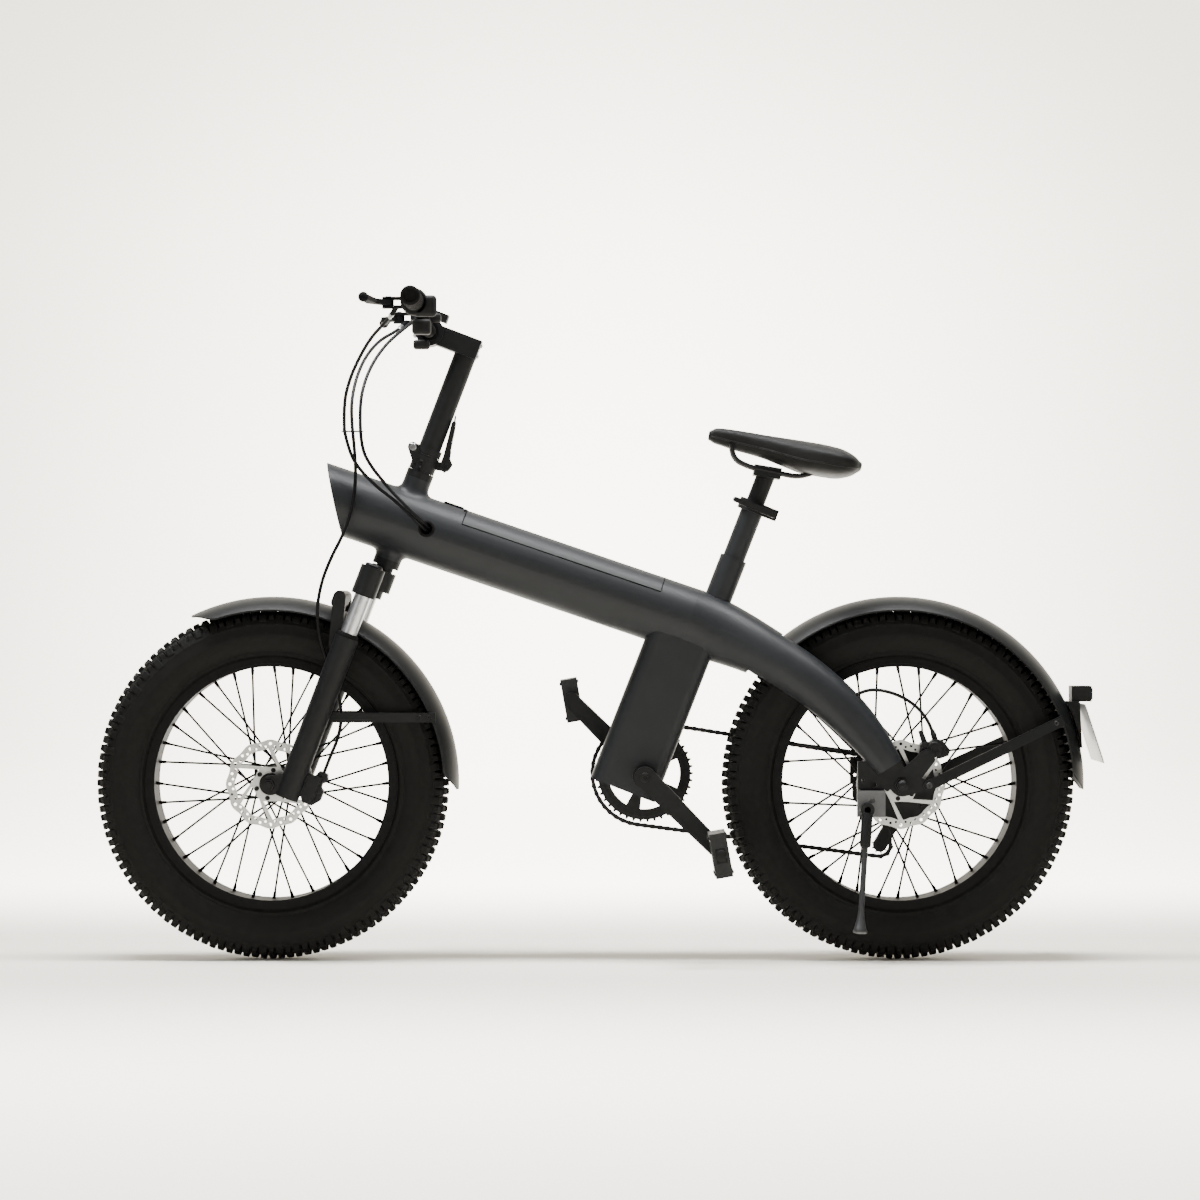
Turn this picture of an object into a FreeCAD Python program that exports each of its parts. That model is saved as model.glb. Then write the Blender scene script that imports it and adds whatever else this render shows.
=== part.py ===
"""Fat tire bike: a round-beam frame, sprung fork, folding handle post, two fat wheels and a chain drive.

Axes: X to the rear, Y to the drive side, Z up. Floor at Z 0, origin under the middle of the whole length.
Lengths are in millimetres, angles in degrees.
"""
import FreeCAD, Part
import Sketcher
import math
import os
from FreeCAD import Placement, Rotation, Vector

DIMENSIONS = {
    # Side view: wheels, pivots and leans
    "wheelbase": 1014,
    "plate_reach": 24,
    "head_lean": 20.8,
    "fork_rake": 45,
    "crank_setback": 411,
    "crank_height": 298,
    "seat_lean": 21.3,
    "seat_offset": 7,
    # Clearances: faces that stay still, shafts that turn, parts that pass each other
    "fit_gap": 0.2,
    "running_gap": 0.1,
    "passing_gap": 0.5,
    "cut_overrun": 20,
    # Tyre and rim
    "tyre_radius": 286,
    "tyre_half_width": 50,
    "tyre_wall": 6,
    "tread_thickness": 14,
    "tread_half_width": 42,
    "tread_block_height": 8.5,
    "tread_block_root": 2,
    "rim_radius": 204,
    "rim_depth": 15,
    "rim_half_width": 40,
    "rim_flange": 3,
    "rim_floor": 5,
    # Spokes
    "spoke_radius": 1,
    "spoke_rim_side": 9,
    "spoke_seat": 3,
    "spoke_stagger": 3.8,
    # Front hub, axle and rotor
    "front_axle_radius": 5,
    "front_axle_half": 108,
    "front_nut_radius": 9,
    "nut_thickness": 8,
    "front_barrel_radius": 15,
    "front_flange_radius": 30,
    "front_flange_side": 36,
    "flange_thickness": 4,
    "front_rotor_side": 56,
    "rotor_radius": 72,
    "rotor_thickness": 2,
    "rotor_band": 16,
    "rotor_hub_radius": 30,
    "rotor_bore_radius": 18,
    "rotor_hole_radius": 2.5,
    "rotor_seat_radius": 25,
    # Rear hub, axle and cassette
    "rear_axle_radius": 6,
    "rear_axle_half": 118,
    "rear_nut_radius": 12,
    "axle_shoulder_radius": 10,
    "motor_radius": 57,
    "motor_half_width": 34,
    "rear_flange_radius": 65,
    "rear_flange_side": 32,
    "rear_rotor_side": 70,
    "hub_right_end": 42,
    "chain_line": 66,
    "chain_pitch": 12.7,
    "chain_half_width": 3,
    "chain_half_height": 4.2,
    "cog_spacing": 4.5,
    "cog_thickness": 1.8,
    "cassette_core_radius": 20,
    "tooth_depth": 4,
    # Frame beam, nose and battery bay
    "beam_radius": 53,
    "beam_wall": 4,
    "beam_drop": 18.8,
    "beam_rise": 469,
    "beam_length": 493,
    "nose_top_reach": 146,
    "nose_bottom_reach": 83,
    "bay_length": 470,
    "lid_start": 95,
    "lid_length": 339,
    "lid_seam": 29,
    "lid_hinge_over": 50,
    "lid_hinge_ahead": 3,
    "lid_knuckle_radius": 4,
    "lid_knuckle_half": 12,
    "lid_pin_radius": 1.8,
    "lid_pin_half": 20,
    "pack_half_width": 33,
    "pack_top": 20,
    "pack_length": 320,
    "lamp_depth": 24,
    "lamp_recess": 6,
    "cable_port_along": 44,
    "cable_port_over": 3,
    "cable_port_radius": 10,
    # Rear arms and wheel well
    "arm_end_ahead": 20,
    "arm_end_over": 29,
    "arm_end_drop": 58,
    "arm_front_handle": 155,
    "arm_rear_handle": 126,
    "arm_half_width": 113,
    "arm_corner": 16,
    "well_radius": 306,
    "well_half_width": 60,
    "well_axle_half_width": 90,
    # Tower, head tube and seat sleeve
    "tower_front": 80,
    "tower_rear": 31,
    "tower_half_width": 42,
    "tower_below": 34,
    "tower_height": 250,
    "tower_corner": 20,
    "head_radius": 22,
    "head_bottom": 405,
    "head_top": 545,
    "sleeve_radius": 22,
    "sleeve_bottom": 270,
    "sleeve_top": 381,
    "seat_tube_radius": 18,
    "seat_tube_top": 461,
    "seat_bore_depth": 120,
    # Dropout plates
    "plate_inner": 92,
    "plate_thickness": 8,
    "plate_axle_lobe": 18,
    "plate_front": 71,
    "plate_front_top": 38,
    "plate_front_bottom": 7,
    "plate_hole_ahead": 45,
    "plate_hole_radius": 4.5,
    "plate_arm_lobe": 23,
    "stand_lobe_ahead": 50,
    "stand_lobe_radius": 17,
    "stand_lobe_below": 24,
    "stand_plate_below": 8,
    "stay_lobe_back": 43,
    "stay_lobe_radius": 8,
    "caliper_lobe_back": 40,
    "caliper_lobe_over": 44,
    "caliper_lobe_radius": 13,
    "hanger_back": 11,
    "hanger_below": 28,
    "hanger_radius": 11,
    "eyelet_ahead": 63,
    "eyelet_over": 8,
    "eyelet_radius": 2.5,
    # Cranks, chainring and pedals
    "crank_length": 168,
    "crank_drop": 45,
    "crank_inner": 74,
    "crank_thickness": 14,
    "crank_boss_radius": 17,
    "crank_end_radius": 13,
    "spindle_radius": 8,
    "bracket_bore_radius": 20,
    "bracket_overhang": 3,
    "chainring_thickness": 2.5,
    "chainring_window_radius": 59,
    "chainring_spider_radius": 30,
    "chainring_seat_radius": 22,
    "pedal_length": 71,
    "pedal_width": 96,
    "pedal_thickness": 27,
    "pedal_tilt": 80,
    "pedal_axle_radius": 6,
    "pedal_rail": 13,
    "pedal_core_radius": 11,
    "pedal_gap": 4,
    # Derailleur
    "guide_back": 0,
    "guide_below": 64,
    "tension_ahead": 24,
    "tension_below": 106,
    "pulley_thickness": 2.4,
    "pulley_pin_radius": 3,
    "cage_radius": 11,
    "cage_thickness": 1.5,
    "cage_side": 5.5,
    "derailleur_arm_thickness": 8,
    # Fork
    "leg_side": 82,
    "leg_ahead": 12,
    "leg_radius": 19.5,
    "leg_bottom": -10,
    "leg_top": 265,
    "leg_bore_bottom": 60,
    "stanchion_radius": 13.5,
    "stanchion_bottom": 112,
    "slide_gap": 0.3,
    "crown_bottom": 337,
    "crown_top": 385,
    "crown_boss_radius": 20,
    "crown_bridge_bottom": 352,
    "crown_bridge_half": 16,
    "steerer_radius": 14.3,
    "steerer_top": 578,
    "cup_height": 12,
    "arch_foot_rise": 246,
    "arch_foot_ahead": 26,
    "arch_radius": 10,
    "arch_crest_ahead": 47,
    "arch_crest_rise": 10,
    "arch_inner": 62,
    "arch_outer": 80,
    "axle_lug_radius": 14,
    "axle_lug_leg_radius": 17,
    "axle_lug_inner": 74,
    "axle_lug_outer": 92,
    "caliper_lug_width": 8,
    "caliper_lug_back": 36,
    "caliper_lug_height": 40,
    # Calipers
    "caliper_inner": 44,
    "caliper_outer": 73,
    "caliper_bottom": -8,
    "caliper_height": 56,
    "caliper_start_back": 9,
    "caliper_depth": 31,
    "caliper_slot": 4,
    "rear_caliper_length": 50,
    "rear_caliper_height": 34,
    "rear_caliper_inner": 54,
    # Fenders
    "fender_radius": 302,
    "fender_edge_radius": 281,
    "fender_half_width": 57.5,
    "fender_thickness": 2.5,
    "front_fender_start": -2,
    "front_fender_end": 116,
    "rear_fender_start": -2,
    "rear_fender_end": 129,
    "front_stay_over": 107,
    "front_stay_height": 15.5,
    "front_stay_start_back": 80,
    "front_stay_length": 186,
    "rear_stay_height": 17,
    "rear_stay_thickness": 4,
    "rear_stay_length_back": 263,
    "rear_stay_rise": 103,
    "rear_stay_tab_radius": 9,
    "rear_stay_tab_thickness": 6,
    # Licence plate and bracket
    "plate_tall": 99,
    "plate_half_width": 80,
    "plate_sheet": 1.6,
    "plate_tilt": 18,
    "plate_bottom_over": 35,
    "bracket_half_width": 30,
    "bracket_front_inset": 47,
    "bracket_bottom_inset": 4,
    "bracket_drop": 97,
    "lamp_length": 32,
    "lamp_height": 25,
    "lamp_half_width": 22,
    "lamp_ahead": 12,
    # Kickstand
    "stand_pivot_ahead": 57,
    "stand_pivot_below": 38,
    "stand_plate_length": 45,
    "stand_plate_height": 42,
    "stand_plate_thickness": 12,
    "stand_pin_radius": 5,
    "stand_barrel_radius": 11,
    "stand_barrel_length": 16,
    "stand_socket_radius": 11,
    "stand_socket_length": 62,
    "stand_rod_radius": 6,
    "stand_foot_radius": 12,
    "stand_foot_length": 24,
    "stand_foot_height": 55,
    "stand_foot_side": 165,
    "stand_foot_ahead": 72,
    # Fold joint and handle post
    "base_radius": 21,
    "base_top": 585,
    "fold_rise": 590,
    "fold_ahead": 26,
    "fold_pin_radius": 4,
    "fold_pin_half": 18,
    "fold_ear_radius": 8,
    "fold_ear_inner": 10,
    "post_radius": 18,
    "post_flange": 12,
    "post_top": 758,
    "latch_rise": 578,
    "latch_back": 35,
    "latch_pin_radius": 3,
    "latch_ear_radius": 7,
    "latch_ear_inner": 6,
    "latch_half": 11,
    "latch_length": 76,
    "latch_lean": 8,
    "latch_end_radius": 4.5,
    # Stem, handlebar and controls
    "stem_height": 32,
    "stem_half_width": 20,
    "stem_back": 18,
    "stem_length": 67,
    "stem_clamp_radius": 23,
    "stem_clamp_half": 24,
    "bar_radius": 11.1,
    "bar_clamp_radius": 15.9,
    "bar_clamp_half": 34,
    "bar_half": 318,
    "bar_rise": 27,
    "bar_ahead": 28,
    "bar_bend_radius": 40,
    "grip_radius": 15.5,
    "grip_cap": 4,
    "clamp_half": 9,
    "clamp_radius": 16,
    "lever_ahead": 42,
    "lever_pivot_radius": 4,
    "lever_boss_radius": 9,
    "lever_half_height": 4,
    "clamp_plate_half": 9,
    "lever_elbow_ahead": 66,
    "lever_end_ahead": 74,
    "lever_root_radius": 8,
    "lever_blade_radius": 6,
    "lever_ball_radius": 8,
    "barrel_radius": 4,
    "barrel_length": 22,
    "control_side": 62,
    "control_half_length": 20,
    "control_half_width": 19,
    "control_thickness": 13,
    "control_gap": 2,
    "shifter_half": 9,
    "shifter_radius": 22,
    # Seat
    "seat_post_radius": 15,
    "seat_post_bottom": 385,
    "seat_post_top": 531,
    "seat_head_length": 44,
    "seat_head_half": 24,
    "seat_head_height": 18,
    "collar_radius": 25,
    "collar_height": 18,
    "collar_ear": 12,
    "collar_ear_half": 8,
    "collar_bolt_radius": 3,
    "quick_lever_length": 66,
    "quick_lever_radius": 6,
    "quick_lever_thickness": 7,
    "rail_radius": 3.5,
    "rail_side": 22,
    "saddle_nose_back": 95,
    "saddle_nose_height": 852,
    "saddle_length": 251,
    "saddle_pitch": 9.3,
    "saddle_half_width": 92,
    "saddle_depth": 52,
    # Cables
    "cable_radius": 2.5,
}

# Counts of what repeats
SPOKES = 36
ROTOR_ARMS = 6
ROTOR_HOLES = 24
CHAINRING_TEETH = 42
CHAINRING_WINDOWS = 5
DRIVEN_COG_TEETH = 16
CASSETTE_TEETH = (14, 16, 18, 20, 22, 24, 28)
PULLEY_TEETH = 9

doc = FreeCAD.newDocument("FatTireBike")
sheet = doc.addObject("Spreadsheet::Sheet", "Sizes")
for row, (size_name, size_value) in enumerate(DIMENSIONS.items(), 1):
    sheet.set(f"A{row}", size_name)
    sheet.set(f"B{row}", str(size_value))
    sheet.setAlias(f"B{row}", size_name)
doc.recompute()


class Size(float):
    """A number that remembers the sheet expression it comes from."""

    def __new__(cls, value, text=None):
        size = super().__new__(cls, value)
        size.text = text or repr(float(value))
        return size

    def joined(self, sign, other, result, swap=False):
        pair = (self.text, getattr(other, "text", repr(float(other))))
        first, second = reversed(pair) if swap else pair
        return Size(result, f"({first} {sign} {second})")

    def __add__(self, other):
        return self.joined("+", other, float(self) + float(other))

    def __radd__(self, other):
        return self.joined("+", other, float(other) + float(self), swap=True)

    def __sub__(self, other):
        return self.joined("-", other, float(self) - float(other))

    def __rsub__(self, other):
        return self.joined("-", other, float(other) - float(self), swap=True)

    def __mul__(self, other):
        return self.joined("*", other, float(self) * float(other))

    def __rmul__(self, other):
        return self.joined("*", other, float(other) * float(self), swap=True)

    def __truediv__(self, other):
        return self.joined("/", other, float(self) / float(other))

    def __neg__(self):
        return Size(-float(self), f"(0 - {self.text})")


class Sizes:
    """The sheet's cells by alias."""

    def __getattr__(self, alias):
        return Size(float(sheet.get(alias)), f"Sizes.{alias}")


S = Sizes()
NODES = []
UP = Vector(0, 0, 1)
ACROSS = Vector(0, 1, 0)
SIDES = (-1, 1)


def bind(obj, **sizes):
    """Bind an object's properties to the sheet."""
    for prop, size in sizes.items():
        setattr(obj, prop, float(size))
        if isinstance(size, Size):
            obj.setExpression(prop, size.text)
    return obj


def vec(x, y, z):
    return Vector(float(x), float(y), float(z))


def aside(point, y):
    """The same point of the side view, at another Y."""
    return vec(point.x, y, point.z)


def cylinder(name, radius, height, start, way):
    bar = doc.addObject("Part::Cylinder", name)
    bind(bar, Radius=radius, Height=height)
    bar.Placement = Placement(start, Rotation(UP, way))
    return bar


def shaft(name, radius, point, low, high):
    """A cylinder along Y from low to high."""
    return cylinder(name, radius, high - low, aside(point, low), ACROSS)


def rod(name, radius, start, end):
    return cylinder(name, radius, (end - start).Length, start, end - start)


def block(name, length, width, height, centre, turn=None):
    """A box round its centre, length along X, width along Y and height along Z before its turn."""
    box = doc.addObject("Part::Box", name)
    bind(box, Length=length, Width=width, Height=height)
    middle = Placement(vec(-length / 2, -width / 2, -height / 2), Rotation())
    box.Placement = Placement(centre, turn or Rotation()).multiply(middle)
    return box


def feature(name, solid):
    """An object that holds a shape worked out from the sheet."""
    obj = doc.addObject("Part::Feature", name)
    obj.Shape = solid
    return obj


def fuse(name, *parts):
    joined = doc.addObject("Part::MultiFuse", name)
    joined.Shapes = list(parts)
    joined.Refine = True
    return joined


def cut(name, base, *tools):
    tool = tools[0] if len(tools) == 1 else fuse(f"{name}_cutters", *tools)
    result = doc.addObject("Part::Cut", name)
    result.Base = base
    result.Tool = tool
    return result


def common(name, first, second):
    result = doc.addObject("Part::Common", name)
    result.Base = first
    result.Tool = second
    return result


def group(name, *parts):
    """Separate solids that share one node."""
    held = doc.addObject("Part::Compound", name)
    held.Links = list(parts)
    return held


def node(obj, name):
    """Give a finished sub-part the label that names its file."""
    obj.Label = name
    NODES.append(obj)
    return obj


def edge(start, end):
    return Part.LineSegment(start, end).toShape()


def arc(start, middle, end):
    return Part.Arc(start, middle, end).toShape()


def link_solid(first, first_radius, second, second_radius, low, high):
    """A tapered plate round two points of the side view, from low to high in Y."""
    way = second - first
    lean = math.atan2(way.z, way.x)
    spread = math.acos((first_radius - second_radius) / way.Length)

    def rim(centre, radius, angle):
        return vec(centre.x + radius * math.cos(angle), low, centre.z + radius * math.sin(angle))

    a = rim(first, first_radius, lean + spread)
    b = rim(first, first_radius, lean - spread)
    c = rim(second, second_radius, lean - spread)
    d = rim(second, second_radius, lean + spread)
    round_first = arc(a, rim(first, first_radius, lean + math.pi), b)
    round_second = arc(c, rim(second, second_radius, lean), d)
    outline = Part.Wire([round_first, edge(b, c), round_second, edge(d, a)])
    return Part.Face(outline).extrude(vec(0, high - low, 0))


def link(name, first, first_radius, second, second_radius, low, high):
    return feature(name, link_solid(first, first_radius, second, second_radius, low, high))


def revolved(name, outline, centre):
    """A body turned about Y from corners (radius, y)."""
    body = doc.addObject("PartDesign::Body", name)
    sketch = sketched(body, f"{name}_outline", "XY_Plane", outline)
    turned = body.newObject("PartDesign::Revolution", f"{name}_turn")
    turned.Profile = sketch
    turned.ReferenceAxis = (sketch, ["V_Axis"])
    turned.Angle = 360
    body.Placement = Placement(centre, Rotation())
    return body


def plane_of(body, role):
    return [part for part in body.Origin.OriginFeatures if part.Role == role][0]


def sketched(body, name, role, corners):
    """A closed outline through corners, each tied to the sheet."""
    sketch = body.newObject("Sketcher::SketchObject", name)
    sketch.AttachmentSupport = [(plane_of(body, role), "")]
    sketch.MapMode = "FlatFace"
    count = len(corners)
    for this in range(count):
        start = corners[this]
        end = corners[(this + 1) % count]
        sketch.addGeometry(Part.LineSegment(vec(*start, 0), vec(*end, 0)))
    for this in range(count):
        sketch.addConstraint(Sketcher.Constraint("Coincident", this, 2, (this + 1) % count, 1))
    for this, corner in enumerate(corners):
        for way, size in zip(("DistanceX", "DistanceY"), corner):
            number = sketch.addConstraint(Sketcher.Constraint(way, -1, 1, this, 1, float(size)))
            if isinstance(size, Size):
                sketch.setExpression(f"Constraints[{number}]", size.text)
    return sketch


def ringed(body, name, role, rings):
    """Circles in a sketch, each (x, y, radius)."""
    sketch = body.newObject("Sketcher::SketchObject", name)
    sketch.AttachmentSupport = [(plane_of(body, role), "")]
    sketch.MapMode = "FlatFace"
    for this, (x, y, radius) in enumerate(rings):
        sketch.addGeometry(Part.Circle(vec(x, y, 0), UP, float(radius)))
        for way, size in (("DistanceX", x), ("DistanceY", y)):
            if float(size) == 0:
                axis = -2 if way == "DistanceX" else -1
                sketch.addConstraint(Sketcher.Constraint("PointOnObject", this, 3, axis))
                continue
            number = sketch.addConstraint(Sketcher.Constraint(way, -1, 1, this, 3, float(size)))
            sketch.setExpression(f"Constraints[{number}]", size.text)
        number = sketch.addConstraint(Sketcher.Constraint("Radius", this, float(radius)))
        sketch.setExpression(f"Constraints[{number}]", radius.text)
    return sketch


def pocket_round(body, name, sketch, count):
    """Cut a sketch right through and repeat it round the body's Z axis."""
    pocket = body.newObject("PartDesign::Pocket", name)
    pocket.Profile = sketch
    pocket.Type = "ThroughAll"
    pocket.Midplane = True
    doc.recompute()
    turned = body.newObject("PartDesign::PolarPattern", f"{name}_round")
    turned.Originals = [pocket]
    turned.Axis = (sketch, ["N_Axis"])
    turned.Angle = 360
    turned.Occurrences = count
    body.Tip = turned
    doc.recompute()
    return turned


def pitch_radius(teeth):
    return S.chain_pitch / (2 * math.sin(math.pi / teeth))


def toothed_solid(teeth, tip_radius, thickness, low, centre):
    """A flat sprocket along Y: one short tooth for each link."""
    root_radius = tip_radius - S.tooth_depth
    tooth_shares = ((-0.22, 0), (-0.1, 1), (0.1, 1), (0.22, 0))
    corners = []
    for tooth in range(teeth):
        for turn_share, height_share in tooth_shares:
            angle = 2 * math.pi * (tooth + turn_share) / teeth
            radius = root_radius + height_share * S.tooth_depth
            corners.append(vec(centre.x + radius * math.cos(angle), low, centre.z + radius * math.sin(angle)))
    outline = Part.makePolygon(corners + corners[:1])
    return Part.Face(outline).extrude(vec(0, thickness, 0))


def tube_along(name, points, radius):
    """A cord's tube: straight runs joined by the largest tangent arcs that its runs allow."""
    run_share = 0.45
    ends = []
    radii = []
    for before, corner, after in zip(points, points[1:], points[2:]):
        back = before - corner
        ahead = after - corner
        reach = run_share * min(back.Length, ahead.Length)
        turn = math.pi - back.getAngle(ahead)
        radii.append(reach / math.tan(turn / 2))
        back.normalize()
        ahead.normalize()
        inward = back + ahead
        inward.normalize()
        rise = reach / math.cos((math.pi - turn) / 2)
        bend = radii[-1]
        middle = corner + inward * (rise - bend)
        ends.append((corner + back * reach, middle, corner + ahead * reach))
    path = []
    here = points[0]
    for start, middle, end in ends:
        path.append(edge(here, start))
        path.append(arc(start, middle, end))
        here = end
    path.append(edge(here, points[-1]))
    wire = Part.Wire(path)
    section = Part.Wire(Part.makeCircle(radius, points[0], points[1] - points[0]))
    tube = wire.makePipeShell([section], True, False)
    expected = math.pi * radius * radius * wire.Length
    rounded = [round(r) for r in radii]
    print(f"{name}: length {wire.Length:.0f}, radii {rounded}, volume {tube.Volume / expected:.4f}")
    return tube


RIM_INNER = S.rim_radius - S.rim_depth

# The side view's fixed points
FRONT_AXLE = vec((S.tyre_radius - S.wheelbase - S.fender_radius - S.plate_reach) / 2, 0, S.tyre_radius)
REAR_AXLE = FRONT_AXLE + vec(S.wheelbase, 0, 0)
CRANK_AXIS = vec(REAR_AXLE.x - S.crank_setback, 0, S.crank_height)
HEAD = math.radians(S.head_lean)
STEER_UP = vec(math.sin(HEAD), 0, math.cos(HEAD))
STEER_BACK = vec(math.cos(HEAD), 0, -math.sin(HEAD))
STEER_TURN = Rotation(ACROSS, S.head_lean)
SEAT = math.radians(S.seat_lean)
SEAT_UP = vec(math.sin(SEAT), 0, math.cos(SEAT))
SEAT_BACK = vec(math.cos(SEAT), 0, -math.sin(SEAT))
SEAT_TURN = Rotation(ACROSS, S.seat_lean)
STEER_FOOT = FRONT_AXLE + STEER_BACK * S.fork_rake
DROP = math.radians(S.beam_drop)
BEAM_WAY = vec(math.cos(DROP), 0, -math.sin(DROP))
BEAM_UP = vec(math.sin(DROP), 0, math.cos(DROP))
BEAM_TURN = Rotation(ACROSS, S.beam_drop)


def steer(rise, back=0, y=0):
    """A point by its height along the steering axis and its distance behind it."""
    return STEER_FOOT + STEER_UP * rise + STEER_BACK * back + vec(0, y, 0)


def seat(rise, back=0, y=0):
    """A point by its height along the seat tube above the cranks and its distance behind the seat axis."""
    return CRANK_AXIS + SEAT_UP * rise + SEAT_BACK * (S.seat_offset + back) + vec(0, y, 0)


def beam(along, over=0, y=0):
    """A point by its distance along the beam behind the steering axis and above the beam's centre line."""
    return steer(S.beam_rise) + BEAM_WAY * along + BEAM_UP * over + vec(0, y, 0)


# Main frame

def rounded_section(centre, way, half_height, half_width, corner):
    """A rounded rectangle square to way, with its width along Y."""
    rise = ACROSS.cross(way) * -1
    rise.normalize()
    diagonal = corner * (1 - math.sqrt(0.5))

    def at(y, height):
        return centre + rise * height + vec(0, y, 0)

    edges = []
    turns = ((1, 1), (-1, 1), (-1, -1), (1, -1))
    for this, (y_sign, z_sign) in enumerate(turns):
        side_point = at(y_sign * half_width, z_sign * (half_height - corner))
        top_point = at(y_sign * (half_width - corner), z_sign * half_height)
        middle = at(y_sign * (half_width - diagonal), z_sign * (half_height - diagonal))
        start, end = (side_point, top_point) if y_sign == z_sign else (top_point, side_point)
        edges.append(arc(start, middle, end))
        next_y, next_z = turns[(this + 1) % 4]
        if next_y == y_sign:
            edges.append(edge(end, at(next_y * half_width, next_z * (half_height - corner))))
        else:
            edges.append(edge(end, at(next_y * (half_width - corner), next_z * half_height)))
    return Part.Wire(edges)


def arms_solid():
    """The tube's rear end: it sinks, narrows in height and widens round the wheel well."""
    steps_shares = (0, 0.12, 0.3, 0.5, 0.75, 1)
    height_shares = (1, 0.95, 0.79, 0.7, 0.62, 0.42)
    width_shares = (0, 0.08, 0.5, 0.8, 0.96, 1)
    start = beam(S.beam_length)
    end = REAR_AXLE + vec(-S.arm_end_ahead, 0, S.arm_end_over)
    drop = math.radians(S.arm_end_drop)
    end_way = vec(math.cos(drop), 0, -math.sin(drop))
    front_handle = start + BEAM_WAY * S.arm_front_handle
    rear_handle = end - end_way * S.arm_rear_handle
    curve = Part.BezierCurve()
    curve.setPoles([start, front_handle, rear_handle, end])
    sections = []
    for step, height, width in zip(steps_shares, height_shares, width_shares):
        way = curve.tangent(step)[0]
        half_height = S.beam_radius * height
        half_width = S.beam_radius + (S.arm_half_width - S.beam_radius) * width
        round_corner = S.beam_radius * 0.97
        corner = min(round_corner + (S.arm_corner - round_corner) * step, half_height * 0.97)
        sections.append(rounded_section(curve.value(step), way, half_height, half_width, corner))
    return Part.makeLoft(sections, True, False)


def tower_solid():
    """The upright between the beam and the cranks, with its cranks near the rear lower corner."""
    half_depth = (S.tower_front + S.tower_rear) / 2
    middle = (S.tower_rear - S.tower_front) / 2 - S.seat_offset
    section = rounded_section(seat(-S.tower_below, middle), SEAT_UP, half_depth, S.tower_half_width,
                              S.tower_corner)
    return Part.Face(section).extrude(SEAT_UP * (S.tower_below + S.tower_height))


def plate_outline_solids(side, low, high):
    """A dropout plate: lobes from the axle to the arm, the stand, the stay, the caliper and the hanger."""
    arm = REAR_AXLE + vec(-S.arm_end_ahead * 2, 0, S.arm_end_over * 2)
    stand = REAR_AXLE + vec(-S.stand_lobe_ahead, 0, -S.stand_lobe_below)
    stand_top = stand + vec(0, 0, S.stand_lobe_below * 2)
    stay = REAR_AXLE + vec(S.stay_lobe_back, 0, 0)
    lobes = [(arm, S.plate_arm_lobe), (stay, S.stay_lobe_radius)]
    if side < 0:
        caliper = REAR_AXLE + vec(S.caliper_lobe_back, 0, S.caliper_lobe_over)
        lobes.append((caliper, S.caliper_lobe_radius))
    else:
        lobes.append((HANGER, S.hanger_radius))
    solids = [link_solid(REAR_AXLE, S.plate_axle_lobe, point, radius, low, high) for point, radius in lobes]
    solids.append(link_solid(stand_top, S.stand_lobe_radius, stand, S.stand_lobe_radius, low, high))
    solids.append(Part.makeBox(S.plate_front, high - low, S.plate_front_top + S.plate_front_bottom,
                               aside(REAR_AXLE, low) - vec(S.plate_front, 0, S.plate_front_bottom)))
    return solids


HANGER = REAR_AXLE + vec(S.hanger_back, 0, -S.hanger_below)
LID_PIVOT = beam(S.lid_start - S.lid_hinge_ahead, S.lid_hinge_over)


def plate_solid(side):
    near = S.plate_inner
    far = S.plate_inner + S.plate_thickness
    low, high = (near, far) if side > 0 else (-far, -near)
    lobes = plate_outline_solids(side, low, high)
    whole = lobes[0].multiFuse(lobes[1:]).removeSplitter()
    axle_hole = Part.makeCylinder(S.rear_axle_radius + S.fit_gap, high - low, aside(REAR_AXLE, low), ACROSS)
    eyelet = REAR_AXLE + vec(-S.eyelet_ahead, 0, S.eyelet_over)
    eyelet_hole = Part.makeCylinder(S.eyelet_radius, high - low, aside(eyelet, low), ACROSS)
    hole = REAR_AXLE - vec(S.plate_hole_ahead, 0, 0)
    front_hole = Part.makeCylinder(S.plate_hole_radius, high - low, aside(hole, low), ACROSS)
    return whole.cut(axle_hole).cut(eyelet_hole).cut(front_hole)


def nose_box(name, depth, recess):
    """A slab that follows the slanted nose, its front face recessed behind it."""
    top = beam(-S.nose_top_reach, S.beam_radius)
    bottom = beam(-S.nose_bottom_reach, -S.beam_radius)
    face_up = top - bottom
    face_up.normalize()
    inward = ACROSS.cross(face_up)
    if inward.dot(BEAM_WAY) < 0:
        inward = inward * -1
    turn = Rotation(inward, ACROSS, face_up, "ZXY")
    span = S.beam_radius * 4
    centre = (top + bottom) * 0.5 + inward * (recess + depth / 2)
    return block(name, depth, span, span, centre, turn)


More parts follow.
